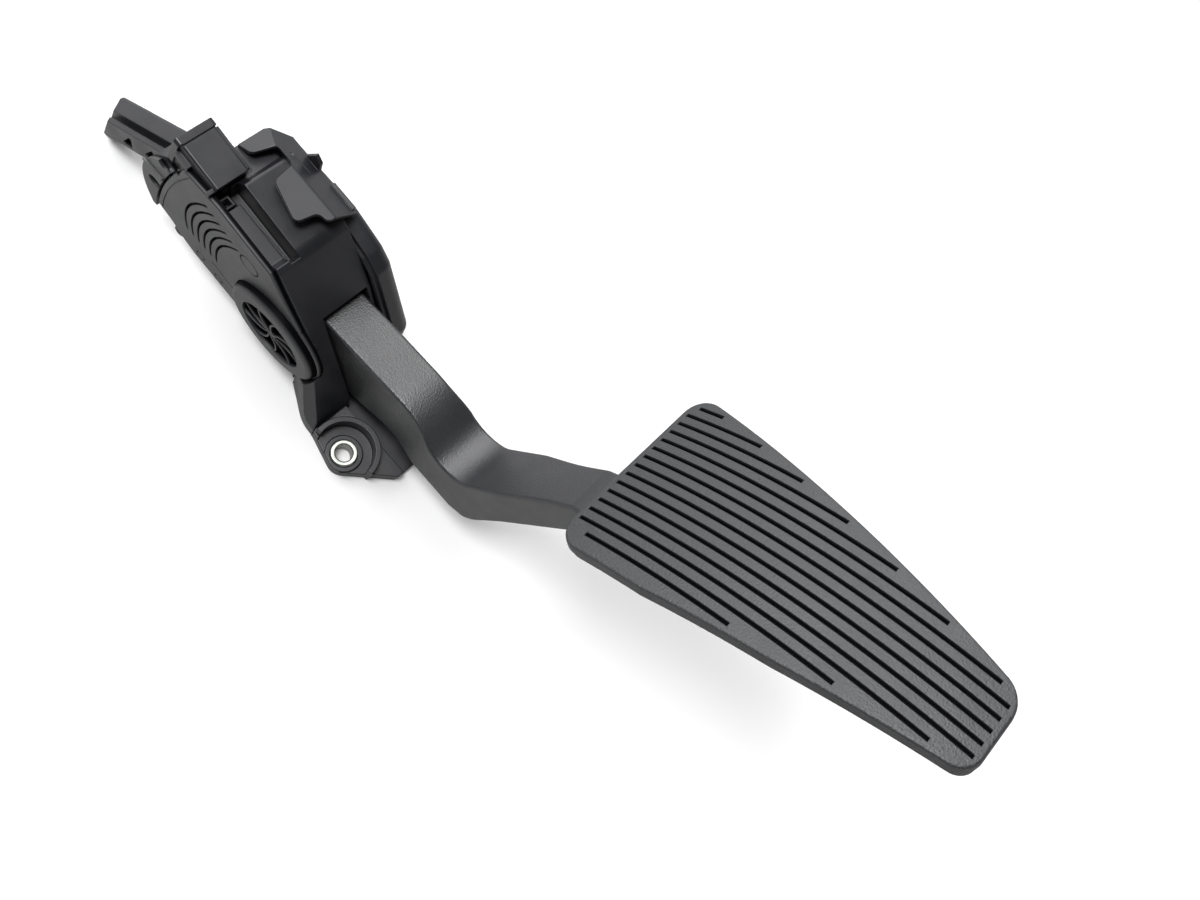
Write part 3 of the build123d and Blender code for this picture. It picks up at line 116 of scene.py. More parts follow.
class Graph:
    """A node tree under construction."""

    def __init__(self, tree: bpy.types.NodeTree) -> None:
        """Keeps the tree that nodes are added to."""
        self.tree = tree

    def add(self, kind: str, **settings: object) -> bpy.types.Node:
        """Adds a node.

        Args:
            kind: the node's type name.
            settings: properties set on the node.

        Returns:
            The new node.
        """
        node = self.tree.nodes.new(kind)
        for name, value in settings.items():
            setattr(node, name, value)
        return node

    def join(self, source: Socket, target: Socket) -> None:
        """Links an output to an input."""
        self.tree.links.new(source, target)

    def stretch(self, value: Socket, low: float, high: float, to_low: float = 0.0,
                to_high: float = 1.0) -> Socket:
        """Maps a value from one range to another, and holds it there.

        Args:
            value: the value.
            low: where the first range starts.
            high: where the first range ends.
            to_low: where the second range starts.
            to_high: where the second range ends.

        Returns:
            The mapped value.
        """
        node = self.add("ShaderNodeMapRange")
        ends = {"From Min": low, "From Max": high, "To Min": to_low, "To Max": to_high}
        for name, number in ends.items():
            node.inputs[name].default_value = number
        self.join(value, node.inputs["Value"])
        return node.outputs["Result"]

    def blend(self, factor: Socket, first: Colour, second: Colour) -> Socket:
        """Mixes two fixed colours.

        Args:
            factor: the second colour's share.
            first: the colour at 0.
            second: the colour at 1.

        Returns:
            The mixed colour.
        """
        node = self.add("ShaderNodeMix", data_type="RGBA")
        node.inputs["A"].default_value = (*first, 1.0)
        node.inputs["B"].default_value = (*second, 1.0)
        self.join(factor, node.inputs["Factor"])
        return node.outputs["Result"]

    def overlay(self, factor: Socket, under: Socket, over: Colour) -> Socket:
        """Lays a fixed colour over a worked out one.

        Args:
            factor: the upper colour's share.
            under: the colour below.
            over: the colour on top.

        Returns:
            The mixed colour.
        """
        node = self.add("ShaderNodeMix", data_type="RGBA")
        self.join(under, node.inputs["A"])
        node.inputs["B"].default_value = (*over, 1.0)
        self.join(factor, node.inputs["Factor"])
        return node.outputs["Result"]

    def combine(self, first: Socket, second: Socket, how: str = "ADD") -> Socket:
        """Combines two values.

        Args:
            first: the first value.
            second: the second value.
            how: the math node's operation.

        Returns:
            The combined value.
        """
        node = self.add("ShaderNodeMath", operation=how)
        self.join(first, node.inputs[0])
        self.join(second, node.inputs[1])
        return node.outputs[0]


def new_group(name: str, outputs: Iterable[str],
              inputs: dict[str, float]) -> tuple[Graph, bpy.types.Node, bpy.types.Node]:
    """Starts a shader node group.

    Args:
        name: the group's name.
        outputs: names of its value outputs.
        inputs: names and first values of its value inputs.

    Returns:
        The graph, its input node and its output node.
    """
    tree = bpy.data.node_groups.new(name, "ShaderNodeTree")
    for label, value in inputs.items():
        socket = tree.interface.new_socket(label, in_out="INPUT", socket_type="NodeSocketFloat")
        socket.default_value = value
    for label in outputs:
        tree.interface.new_socket(label, in_out="OUTPUT", socket_type="NodeSocketFloat")
    graph = Graph(tree)
    return graph, graph.add("NodeGroupInput"), graph.add("NodeGroupOutput")


def moulded_grain() -> bpy.types.NodeTree:
    """Spark-eroded grain of a moulding: fine cells of uneven height.

    Returns:
        A group that puts out the grain's height and the specks on its tops.
    """
    graph, given, result = new_group("MouldedGrain", ("Height", "Specks"), {"Grain Scale": 1500.0})
    where = graph.add("ShaderNodeTexCoord").outputs["Object"]
    fine = graph.add("ShaderNodeTexNoise")
    fine.inputs["Detail"].default_value = GRAIN_DETAIL
    fine.inputs["Roughness"].default_value = GRAIN_ROUGHNESS
    cells = graph.add("ShaderNodeTexVoronoi")
    for texture in (fine, cells):
        graph.join(where, texture.inputs["Vector"])
        graph.join(given.outputs["Grain Scale"], texture.inputs["Scale"])
    domes = graph.stretch(cells.outputs["Distance"], 0.0, 1.0, 0.0, GRAIN_CELL_SHARE)
    height = graph.combine(fine.outputs["Fac"], domes)
    graph.join(graph.stretch(height, *GRAIN_RANGE), result.inputs["Height"])
    graph.join(graph.stretch(fine.outputs["Fac"], *SPECK_RANGE), result.inputs["Specks"])
    return graph.tree


def moulded_flow() -> bpy.types.NodeTree:
    """Slow unevenness of moulded plastic, as handling and flow leave it.

    Returns:
        A group that puts out a slow value from 0 to 1.
    """
    graph, given, result = new_group("MouldedFlow", ("Value",), {"Flow Scale": 60.0})
    where = graph.add("ShaderNodeTexCoord").outputs["Object"]
    slow = graph.add("ShaderNodeTexNoise")
    slow.inputs["Detail"].default_value = FLOW_DETAIL
    graph.join(where, slow.inputs["Vector"])
    graph.join(given.outputs["Flow Scale"], slow.inputs["Scale"])
    graph.join(graph.stretch(slow.outputs["Fac"], *FLOW_RANGE), result.inputs["Value"])
    return graph.tree


def turned_marks() -> bpy.types.NodeTree:
    """Fine rings about Z and drawn marks, as on turned or drawn steel.

    Returns:
        A group that puts out the marks' height.
    """
    graph, given, result = new_group("TurnedMarks", ("Height",), {"Marks Scale": 900.0})
    where = graph.add("ShaderNodeTexCoord").outputs["Object"]
    squeeze = graph.add("ShaderNodeMapping")
    squeeze.inputs["Scale"].default_value = MARKS_SQUEEZE
    graph.join(where, squeeze.inputs["Vector"])
    marks = graph.add("ShaderNodeTexNoise")
    marks.inputs["Detail"].default_value = MARKS_DETAIL
    graph.join(squeeze.outputs["Vector"], marks.inputs["Vector"])
    graph.join(given.outputs["Marks Scale"], marks.inputs["Scale"])
    graph.join(marks.outputs["Fac"], result.inputs["Height"])
    return graph.tree


def fine_dust() -> bpy.types.NodeTree:
    """Sparse pale specks of dust, of uneven size.

    Returns:
        A group that puts out a mask of the specks.
    """
    inputs = {"Dust Scale": 260.0, "Dust Share": 0.05}
    graph, given, result = new_group("FineDust", ("Mask",), inputs)
    where = graph.add("ShaderNodeTexCoord").outputs["Object"]
    cells = graph.add("ShaderNodeTexVoronoi")
    graph.join(where, cells.inputs["Vector"])
    graph.join(given.outputs["Dust Scale"], cells.inputs["Scale"])
    spot = graph.stretch(cells.outputs["Distance"], *DUST_RANGE)
    parts = graph.add("ShaderNodeSeparateColor")
    graph.join(cells.outputs["Color"], parts.inputs["Color"])
    chosen = graph.combine(given.outputs["Dust Share"], parts.outputs["Red"], "GREATER_THAN")
    graph.join(graph.combine(spot, chosen, "MULTIPLY"), result.inputs["Mask"])
    return graph.tree


@dataclass(frozen=True)
class Finish:
    """A finish as its slot, colours and surface; every finish reads the shared groups."""

    slot: Slot
    colour: Colour
    lighter: Colour
    roughness: tuple[float, float] = (0.4, 0.6)
    metallic: float = 0.0
    specular: float = 0.5
    grain_scale: float = 1500.0
    grain_depth: float = 0.00003
    grain_strength: float = 0.3
    specks: float = 0.0
    dust: float = 0.0
    flow_scale: float = 60.0
    turned: bool = False
    coat: float = 0.0
    # Colour of the painted shade laid into marked recesses, if any.
    painted_shade: Colour | None = None

    def material(self, groups: dict[str, bpy.types.NodeTree]) -> bpy.types.Material:
        """Builds the material.

        Args:
            groups: the shared node groups by name.

        Returns:
            The finished material.
        """
        made = bpy.data.materials.new(self.slot.value + "_finish")
        made.use_nodes = True
        graph = Graph(made.node_tree)
        shader = made.node_tree.nodes["Principled BSDF"]
        grain = graph.add("ShaderNodeGroup", node_tree=groups["turned" if self.turned else "grain"])
        grain.inputs[0].default_value = self.grain_scale
        flow = graph.add("ShaderNodeGroup", node_tree=groups["flow"])
        flow.inputs["Flow Scale"].default_value = self.flow_scale
        tone = flow.outputs["Value"]
        if not self.turned and self.specks:
            specks = graph.stretch(grain.outputs["Specks"], 0.0, 1.0, -self.specks, self.specks)
            tone = graph.combine(tone, specks)
        colour = graph.blend(tone, self.colour, self.lighter)
        if self.dust:
            dust = graph.add("ShaderNodeGroup", node_tree=groups["dust"])
            dust.inputs["Dust Share"].default_value = self.dust
            colour = graph.overlay(dust.outputs["Mask"], colour, DUST_COLOUR)
        # Painted shade: recesses marked in the mesh get a dark colour laid over and a lower specular
        # level.
        if self.painted_shade:
            painted_shade_layer = graph.add("ShaderNodeAttribute", attribute_name=PAINTED_SHADE_ATTRIBUTE)
            painted_shade_share = graph.stretch(painted_shade_layer.outputs["Fac"], *PAINTED_SHADE_RANGE)
            colour = graph.overlay(painted_shade_share, colour, self.painted_shade)
            specular_under_shade = graph.stretch(painted_shade_share, 0.0, 1.0, self.specular, PAINTED_SHADE_SPECULAR)
            graph.join(specular_under_shade, shader.inputs["Specular IOR Level"])
        graph.join(colour, shader.inputs["Base Color"])
        roughness = graph.stretch(flow.outputs["Value"], 0.0, 1.0, *self.roughness)
        graph.join(roughness, shader.inputs["Roughness"])
        bump = graph.add("ShaderNodeBump")
        bump.inputs["Distance"].default_value = self.grain_depth
        bump.inputs["Strength"].default_value = self.grain_strength
        graph.join(grain.outputs["Height"], bump.inputs["Height"])
        graph.join(bump.outputs["Normal"], shader.inputs["Normal"])
        shader.inputs["Metallic"].default_value = self.metallic
        shader.inputs["Specular IOR Level"].default_value = self.specular
        shader.inputs["Coat Weight"].default_value = self.coat
        return made


FINISHES = (
    # The near-black colours given for recesses below are painted shade, laid into groove floors and
    # recesses.
    Finish(Slot.TREAD, (0.033, 0.0345, 0.037), (0.060, 0.062, 0.066), (0.42, 0.52), specular=0.65,
           grain_depth=0.00022, grain_strength=0.9, specks=1.2, painted_shade=(0.004, 0.004, 0.005)),
    Finish(Slot.ARM, (0.021, 0.022, 0.025), (0.040, 0.041, 0.045), (0.36, 0.44), specular=0.95,
           grain_depth=0.00016, grain_strength=0.85, specks=1.2),
    Finish(Slot.HOUSING, (0.015, 0.0155, 0.0185), (0.021, 0.0215, 0.025), (0.32, 0.42), specular=0.52,
           grain_scale=2600, grain_depth=0.00002, dust=0.012, painted_shade=(0.003, 0.003, 0.004)),
    Finish(Slot.COVER, (0.040, 0.041, 0.044), (0.054, 0.055, 0.059), (0.36, 0.46), specular=0.65,
           grain_scale=2600, grain_depth=0.00002, dust=0.012, painted_shade=(0.003, 0.003, 0.004)),
    # The sleeve's steel is painted darker and greener than bare steel, as painted shade for its bore.
    Finish(Slot.SLEEVE, (0.42, 0.44, 0.40), (0.66, 0.68, 0.63), (0.26, 0.42), metallic=1.0, turned=True),
    Finish(Slot.SPRING, (0.42, 0.42, 0.43), (0.58, 0.58, 0.58), (0.24, 0.34), metallic=1.0, turned=True),
    Finish(Slot.SHAFT, (0.50, 0.50, 0.51), (0.64, 0.64, 0.64), (0.18, 0.28), metallic=1.0, turned=True),
    Finish(Slot.BUSH, (0.70, 0.66, 0.56), (0.78, 0.74, 0.64), (0.40, 0.50)),
    Finish(Slot.RUBBER, (0.014, 0.014, 0.015), (0.022, 0.022, 0.023), (0.75, 0.9), specular=0.3),
    Finish(Slot.BOARD, (0.010, 0.085, 0.035), (0.014, 0.11, 0.045), (0.30, 0.42), coat=0.3),
    Finish(Slot.CHIP, (0.012, 0.012, 0.013), (0.020, 0.020, 0.021), (0.5, 0.6)),
    Finish(Slot.CERAMIC, (0.36, 0.25, 0.15), (0.45, 0.32, 0.20), (0.35, 0.5)),
    Finish(Slot.PIN, (0.72, 0.50, 0.20), (0.85, 0.62, 0.30), (0.2, 0.3), metallic=1.0, turned=True),
    Finish(Slot.MAGNET, (0.06, 0.06, 0.062), (0.09, 0.09, 0.092), (0.4, 0.5), metallic=0.6),
)


@dataclass
class Wardrobe:
    """The finished materials, by slot."""

    materials: dict[Slot, bpy.types.Material] = field(default_factory=dict)

    def fill(self) -> None:
        """Builds the shared groups and every finish."""
        groups = {"grain": moulded_grain(), "flow": moulded_flow(), "turned": turned_marks(),
                  "dust": fine_dust()}
        for finish in FINISHES:
            self.materials[finish.slot] = finish.material(groups)

    def dress_node(self, node: str, slot: Slot) -> None:
        """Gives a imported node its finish.

        Args:
            node: the node's name.
            slot: the finish's slot.
        """
        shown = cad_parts[node]
        if not shown.material_slots:
            shown.data.materials.append(None)
        for place in shown.material_slots:
            place.material = self.materials[slot]

    def dress(self, piece: bpy.types.Object, slot: Slot, body: Body) -> None:
        """Gives a new piece its finish, slot and body.

        Args:
            piece: the new piece.
            slot: the finish's slot.
            body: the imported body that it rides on.
        """
        piece.data.materials.clear()
        piece.data.materials.append(self.materials[slot])
        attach(piece, body.value)


def as_piece(shape: Shape, name: str, smooth_angle: float = 50.0) -> bpy.types.Object:
    """Turns a bmesh into a piece with smooth shading up to an angle, flat faces kept flat.

    Args:
        shape: the finished bmesh, which is freed.
        name: the piece's name.
        smooth_angle: faces that meet at less than this many degrees shade as one.

    Returns:
        The new object, at the origin.
    """
    for face in shape.faces:
        face.smooth = True
    limit = math.radians(smooth_angle)
    for edge in shape.edges:
        edge.smooth = not edge.is_manifold or edge.calc_face_angle(0.0) < limit
    mesh = bpy.data.meshes.new(name)
    shape.to_mesh(mesh)
    shape.free()
    piece = bpy.data.objects.new(name, mesh)
    bpy.context.scene.collection.objects.link(piece)
    weights = piece.modifiers.new("even_shading", "WEIGHTED_NORMAL")
    weights.keep_sharp = True
    return piece


def bevel(shape: Shape, edges: Iterable[Edge], radius: float, segments: int = 3,
          clamp: bool = False) -> None:
    """Rounds edges.

    Args:
        shape: the bmesh that holds them.
        edges: the edges to round.
        radius: the rounding's width on each face.
        segments: the rounding's steps.
        clamp: whether the width is held back where edges are short.
    """
    bmesh.ops.bevel(shape, geom=list(edges), offset=radius, offset_type="OFFSET", segments=segments,
                    profile=ROUND_PROFILE, affect="EDGES", clamp_overlap=clamp, material=-1)


@dataclass(frozen=True)
class Rounded:
    """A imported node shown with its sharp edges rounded, as a mould leaves them."""

    node: str
    slot: Slot
    body: Body
    radius: float
    segments: int = 3
    sharp_angle: float = 28.0
    flat_angle: float = 0.05
    wide_radius: float = 0.0
    wide_segments: int = 5
    wide_angle: float = 8.0
    wide_edges: Choice | None = None
    # Depths along Y over which painted shade grows in recesses, if any.
    painted_shade_depths: tuple[float, float] | None = None
    clamp: bool = False

    def build(self, wardrobe: Wardrobe) -> bpy.types.Object:
        """Copies the node's mesh, merges it, rounds its sharp edges and dresses it.

        Args:
            wardrobe: the finished materials.

        Returns:
            The piece that stands for the node.
        """
        shape = bmesh.new()
        shape.from_mesh(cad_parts[self.node].data)
        bmesh.ops.remove_doubles(shape, verts=shape.verts, dist=WELD)
        bmesh.ops.dissolve_limit(shape, angle_limit=math.radians(self.flat_angle),
                                 use_dissolve_boundaries=False, verts=shape.verts, edges=shape.edges)
        if self.wide_edges:
            chosen = [edge for edge in self.bent(shape, self.wide_angle) if self.wide_edges(edge)]
            bevel(shape, chosen, self.wide_radius, self.wide_segments, self.clamp)
        if self.radius:
            bevel(shape, self.bent(shape, self.sharp_angle), self.radius, self.segments)
        # Paints shade into recesses sunk from the near side.
        if self.painted_shade_depths:
            self.paint_shade(shape)
        piece = as_piece(shape, self.node + "_rounded")
        wardrobe.dress(piece, self.slot, self.body)
        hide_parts(self.node)
        return piece

    def bent(self, shape: Shape, angle: float) -> list[Edge]:
        """Returns the edges whose faces meet at more than an angle, in degrees."""
        limit = math.radians(angle)
        return [edge for edge in shape.edges if edge.is_manifold and edge.calc_face_angle(0.0) > limit]

    def paint_shade(self, shape: Shape) -> None:
        """Marks painted shade in recesses sunk from the near side, growing between two depths along Y.

        Args:
            shape: the bmesh whose points are marked.
        """
        layer = shape.verts.layers.float.new(PAINTED_SHADE_ATTRIBUTE)
        start, full = self.painted_shade_depths
        for vert in shape.verts:
            vert[layer] = (vert.co.y - start) / (full - start)


def along_front(edge: Edge) -> bool:
    """Tells whether an edge runs along the arm's front, between the front and a side face."""
    front, side = sorted((face.normal for face in edge.link_faces), key=lambda normal: abs(normal.y))
    return abs(side.y) > SIDE_FACING and abs(front.y) < FRONT_TURN and front.z > FRONT_RISE


def along_depth(edge: Edge) -> bool:
    """Tells whether an edge is an outward corner of a moulding's outline, running along Y."""
    run = (edge.verts[1].co - edge.verts[0].co).normalized()
    return abs(run.y) > DEPTH_RUN and edge.is_convex


@dataclass
class Pad:
    """The curved pad: its grooved tread, made flat and then bent, and the plate under it.

    Sizes written with MM are in metres, and the outline, corners, grooves and steps in millimetres.
    """

    wide_end: tuple[float, float] = (65.8 * MM, 144.0 * MM)
    radius: float = 238.6 * MM
    wide_angle: float = math.radians(145.2)
    length: float = 132.8 * MM
    thickness: float = 3.4 * MM
    near_edge: tuple[tuple[float, float], ...] = ((0, 2.3), (36.0, 2.6), (78.0, 7.2), (132.8, 16.1))
    far_edge: tuple[tuple[float, float], ...] = ((0, 73.2), (58.0, 60.0), (132.8, 43.2))
    corner_radii: tuple[float, ...] = (10.0, 6.5, 6.5, 9.5)
    groove_far_y: float = 67.2
    groove_pitch: float = 4.2
    groove_width: float = 1.3
    groove_depth: float = 1.8
    groove_count: int = 15
    groove_margin: float = 2.1
    late_starts: tuple[float, float] = (4.2, 8.9)
    rim_radius: float = 0.8 * MM
    lip_radius: float = 0.22 * MM
    plate_edge: float = 0.6 * MM
    corner_segments: int = 9
    rim_segments: int = 4
    lip_segments: int = 2
    bend_step: float = 2.4
    step_gap: float = 0.4
    level_facing: float = 0.9
    wall_facing: float = 0.5

    def build(self, wardrobe: Wardrobe) -> list[bpy.types.Object]:
        """Makes the tread and the plate.

        Args:
            wardrobe: the finished materials.

        Returns:
            The two pieces.
        """
        shape = self.slab()
        self.cut_grooves(shape)
        self.bend(shape)
        bmesh.ops.recalc_face_normals(shape, faces=shape.faces)
        tread = as_piece(shape, "tread_moulding")
        wardrobe.dress(tread, Slot.TREAD, Body.PEDAL)
        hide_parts("pad_tread")
        plate = Rounded("pad_plate", Slot.TREAD, Body.PEDAL, self.plate_edge).build(wardrobe)
        return [tread, plate]

    def slab(self) -> Shape:
        """Makes the flat slab: its length along X, its face up at Z 0, its rim rounded.

        Returns:
            The slab.
        """
        shape = bmesh.new()
        points = (*self.near_edge, *reversed(self.far_edge))
        around = [shape.verts.new((down * MM, across * MM, 0.0)) for down, across in points]
        shape.faces.new(around)
        corners = (around[0], around[len(self.near_edge) - 1], around[len(self.near_edge)], around[-1])
        for corner, radius in zip(corners, self.corner_radii):
            bmesh.ops.bevel(shape, geom=[corner], offset=radius * MM, offset_type="OFFSET",
                            segments=self.corner_segments, profile=ROUND_PROFILE, affect="VERTICES",
                            clamp_overlap=False, material=-1)
        below = bmesh.ops.extrude_face_region(shape, geom=list(shape.faces), use_keep_orig=True)["geom"]
        lowered = [item for item in below if isinstance(item, bmesh.types.BMVert)]
        bmesh.ops.translate(shape, vec=(0.0, 0.0, -self.thickness), verts=lowered)
        bmesh.ops.recalc_face_normals(shape, faces=shape.faces)
        rim = [edge for edge in shape.edges if all(vert.co.z > -WELD for vert in edge.verts)]
        bevel(shape, rim, self.rim_radius, self.rim_segments)
        return shape

    def grooves(self) -> list[tuple[float, float, float]]:
        """Works out each groove.

        Returns:
            The middle, start and end of each, in millimetres.
        """
        found = []
        for index in range(self.groove_count):
            middle = self.groove_far_y - index * self.groove_pitch
            start = self.groove_margin
            if index == 0:
                start = self.late_starts[0]
            if index == self.groove_count - 1:
                start = self.late_starts[1]
            half = self.groove_width / 2 + self.groove_margin
            end = min(self.length / MM - self.groove_margin, self.reach(self.far_edge, middle + half),
                      self.reach(self.near_edge, middle - half))
            found.append((middle, start, end))
        return found

    def reach(self, edge: tuple[tuple[float, float], ...], across: float) -> float:
        """Finds how far down the pad an edge of its outline gets before it crosses a line.

        Args:
            edge: the edge's points.
            across: the line's place across the pad.

        Returns:
            The distance down the pad, in millimetres.
        """
        for first, second in zip(edge, edge[1:]):
            if min(first[1], second[1]) <= across <= max(first[1], second[1]):
                return first[0] + (across - first[1]) * (second[0] - first[0]) / (second[1] - first[1])
        return self.length / MM

    def cut_grooves(self, shape: Shape) -> None:
        """Divides the slab, sinks the grooves, marks painted shade on their floors and rounds their lips.

        Args:
            shape: the flat slab.
        """
        groove_shade_layer = shape.verts.layers.float.new(PAINTED_SHADE_ATTRIBUTE)
        grooves = self.grooves()
        for middle, _, _ in grooves:
            for side in (-1, 1):
                wall = (middle + side * self.groove_width / 2) * MM
                self.divide(shape, (0.0, wall, 0.0), (0.0, 1.0, 0.0))
        ends = sorted({round(place, 2) for _, start, end in grooves for place in (start, end)})
        count = int(self.length / MM / self.bend_step)
        steps = [self.bend_step * step for step in range(1, count + 1)]
        between = [step for step in steps if all(abs(step - end) > self.step_gap for end in ends)]
        for place in (*ends, *between):
            self.divide(shape, (place * MM, 0.0, 0.0), (1.0, 0.0, 0.0))
        for middle, start, end in grooves:
            floor = [face for face in shape.faces
                     if face.normal.z > self.level_facing and face.calc_center_median().z > -WELD
                     and abs(face.calc_center_median().y / MM - middle) < self.groove_width / 2
                     and start < face.calc_center_median().x / MM < end]
            sunk = bmesh.ops.extrude_face_region(shape, geom=floor)["geom"]
            low = [item for item in sunk if isinstance(item, bmesh.types.BMVert)]
            left = [face for face in floor if face.is_valid]
            bmesh.ops.delete(shape, geom=left, context="FACES_ONLY")
            bmesh.ops.translate(shape, vec=(0.0, 0.0, -self.groove_depth * MM), verts=low)
            # The groove floors get full painted shade.
            for vert in low:
                vert[groove_shade_layer] = 1.0
        shape.normal_update()
        lips = [edge for edge in shape.edges if all(vert.co.z > -WELD for vert in edge.verts)
                and sum(abs(face.normal.z) < self.wall_facing for face in edge.link_faces) == 1]
        bevel(shape, lips, self.lip_radius, self.lip_segments)

    def divide(self, shape: Shape, place: Point, facing: Point) -> None:
        """Cuts new edges into the slab along a plane, given by a point and its normal."""
        bmesh.ops.bisect_plane(shape, geom=[*shape.verts, *shape.edges, *shape.faces], dist=WELD,
                               plane_co=place, plane_no=facing)

    def bend(self, shape: Shape) -> None:
        """Bends the flat slab round the pad's centre of curvature.

        Args:
            shape: the grooved slab.
        """
        centre_x = self.wide_end[0] - self.radius * math.cos(self.wide_angle)
        centre_z = self.wide_end[1] - self.radius * math.sin(self.wide_angle)
        middle = self.wide_angle - self.length / self.radius / 2
        for vert in shape.verts:
            radius = self.radius + vert.co.z
            level = self.radius * math.sin((vert.co.x - self.length / 2) / self.radius)
            angle = middle - math.asin(level / radius)
            x = centre_x + radius * math.cos(angle)
            z = centre_z + radius * math.sin(angle)
            vert.co = (x, vert.co.y, z)


@dataclass
class Housing:
    """The housing's visible mouldings, with the sleeve and the screw in them."""

    mouldings: tuple[Rounded, ...] = (
        Rounded("housing_body", Slot.HOUSING, Body.HOUSING, 0.4 * MM),
        # The sensor cover's louvres, the end cap's recesses and the boss's floor get painted shade,
        # growing deeper along Y.
        Rounded("sensor_cover", Slot.COVER, Body.HOUSING, 0.15 * MM, painted_shade_depths=(6.0 * MM, 7.0 * MM)),
        Rounded("end_cap", Slot.COVER, Body.HOUSING, 0.0, painted_shade_depths=(6.2 * MM, 7.0 * MM)),
        Rounded("pivot_cover", Slot.COVER, Body.HOUSING, 0.15 * MM, painted_shade_depths=(2.3 * MM, 3.8 * MM)),
        Rounded("connector_socket", Slot.HOUSING, Body.HOUSING, 0.2 * MM),
        Rounded("far_cover", Slot.HOUSING, Body.HOUSING, 0.5 * MM, wide_radius=4.0 * MM,
                wide_edges=along_depth, clamp=True),
        Rounded("harness_guard", Slot.HOUSING, Body.HOUSING, 0.35 * MM),
        Rounded("mount_sleeve", Slot.SLEEVE, Body.HOUSING, 0.25 * MM),
        Rounded("cover_screw", Slot.COVER, Body.HOUSING, 0.2 * MM),
    )

    def build(self, wardrobe: Wardrobe) -> list[bpy.types.Object]:
        """Makes the rounded mouldings of the housing, and returns them."""
        return [moulding.build(wardrobe) for moulding in self.mouldings]


@dataclass
class Vent:
    """The curved vanes between the boss's hub and its ring, beside the one that the solid has."""

    centre: tuple[float, float] = (-51.0 * MM, 40.0 * MM)
    hub_radius: float = 2.1 * MM
    ring_radius: float = 15.5 * MM
    count: int = 9
    thickness: float = 0.8 * MM
    bow: float = 2.2 * MM
    top: float = 2.5 * MM
    bottom: float = 7.3 * MM
    # Depth below the vanes' tops over which their painted shade grows to full.
    shade: float = 1.0 * MM
    steps: int = 8

    def build(self, wardrobe: Wardrobe) -> list[bpy.types.Object]:
        """Makes the vanes, with painted shade that darkens them toward the boss's floor.

        Args:
            wardrobe: the finished materials.

        Returns:
            The one piece that holds them all.
        """
        shape = bmesh.new()
        painted_shade_layer = shape.verts.layers.float.new(PAINTED_SHADE_ATTRIBUTE)
        for index in range(1, self.count):
            self.vane(shape, math.tau * index / self.count)
        # Painted shade grows with depth below the vanes' tops.
        for vert in shape.verts:
            vert[painted_shade_layer] = (vert.co.y - self.top) / self.shade
        bmesh.ops.recalc_face_normals(shape, faces=shape.faces)
        vanes = as_piece(shape, "boss_vanes")
        wardrobe.dress(vanes, Slot.COVER, Body.HOUSING)
        return [vanes]

    def vane(self, shape: Shape, turn: float) -> None:
        """Adds one vane.

        Args:
            shape: the bmesh that it is added to.
            turn: its angle about the boss's axis, in radians.
        """
        rows = []
        for step in range(self.steps + 1):
            share = step / self.steps
            along = self.hub_radius + share * (self.ring_radius - self.hub_radius)
            aside = PARABOLA_PEAK * self.bow * share * (1.0 - share)
            row = []
            for side in (-0.5, 0.5):
                across = aside + side * self.thickness
                x = self.centre[0] + along * math.cos(turn) - across * math.sin(turn)
                z = self.centre[1] + along * math.sin(turn) + across * math.cos(turn)
                row.append(shape.verts.new((x, self.bottom, z)))
            rows.append(row)
        faces = [shape.faces.new((first[0], first[1], second[1], second[0]))
                 for first, second in zip(rows, rows[1:])]
        raised = bmesh.ops.extrude_face_region(shape, geom=faces, use_keep_orig=True)["geom"]
        bmesh.ops.translate(shape, vec=(0.0, self.top - self.bottom, 0.0),
                            verts=[item for item in raised if isinstance(item, bmesh.types.BMVert)])


@dataclass
class Springs:
    """The two return springs, which the rising plunger squeezes; they are shown as imported."""

    nodes: tuple[str, str] = ("outer_return_spring", "inner_return_spring")
    joint: str = "plunger_lift"
    fixed_end: Point = (-85.0 * MM, 26.7 * MM, 74.0 * MM)
    travel: float = 8.4 * MM

    def build(self, wardrobe: Wardrobe) -> list[bpy.types.Object]:
        """Makes each spring as a copy of its imported mesh, with a mesh of its own.

        Args:
            wardrobe: the finished materials.

        Returns:
            The two springs.
        """
        springs = []
        for node in self.nodes:
            spring = Rounded(node, Slot.SPRING, Body.HOUSING, 0.0).build(wardrobe)
            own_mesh(spring)
            springs.append(spring)
        return springs


@dataclass
class Arm:
    """The pedal's bent arm."""

    edge_radius: float = 1.4 * MM
    rib_radius: float = 0.35 * MM

    def build(self, wardrobe: Wardrobe) -> list[bpy.types.Object]:
        """Makes the arm, its front edges more rounded than its ribs, and returns it."""
        moulding = Rounded("pedal_arm", Slot.ARM, Body.PEDAL, self.rib_radius,
                           wide_radius=self.edge_radius, wide_edges=along_front)
        return [moulding.build(wardrobe)]


PLAIN_NODES = {
    "cover_seal": Slot.RUBBER,
    "circuit_board": Slot.BOARD,
    "hall_chips": Slot.CHIP,
    "board_capacitors": Slot.CERAMIC,
    "connector_pins": Slot.PIN,
    "near_bush": Slot.BUSH,
    "far_bush": Slot.BUSH,
    "pivot_shaft": Slot.SHAFT,
    "rotor_carrier": Slot.BUSH,
    "rotor_magnet": Slot.MAGNET,
    "spring_seat": Slot.BUSH,
    "friction_plunger": Slot.BUSH,
    "idle_stop": Slot.RUBBER,
    "stop_bumper": Slot.RUBBER,
}


@dataclass(frozen=True)
class Lamp:
    """A square soft lamp aimed at a point."""

    name: str
    place: Point
    aim: Point
    size: float
    power: float

    def build(self) -> None:
        """Makes the lamp and turns it to its aim."""
        light = bpy.data.lights.new(self.name, "AREA")
        light.size = self.size
        light.energy = self.power
        lamp = bpy.data.objects.new(self.name, light)
        bpy.context.scene.collection.objects.link(lamp)
        lamp.location = self.place
        lamp.rotation_euler = (Vector(self.aim) - Vector(self.place)).to_track_quat("-Z", "Y").to_euler()


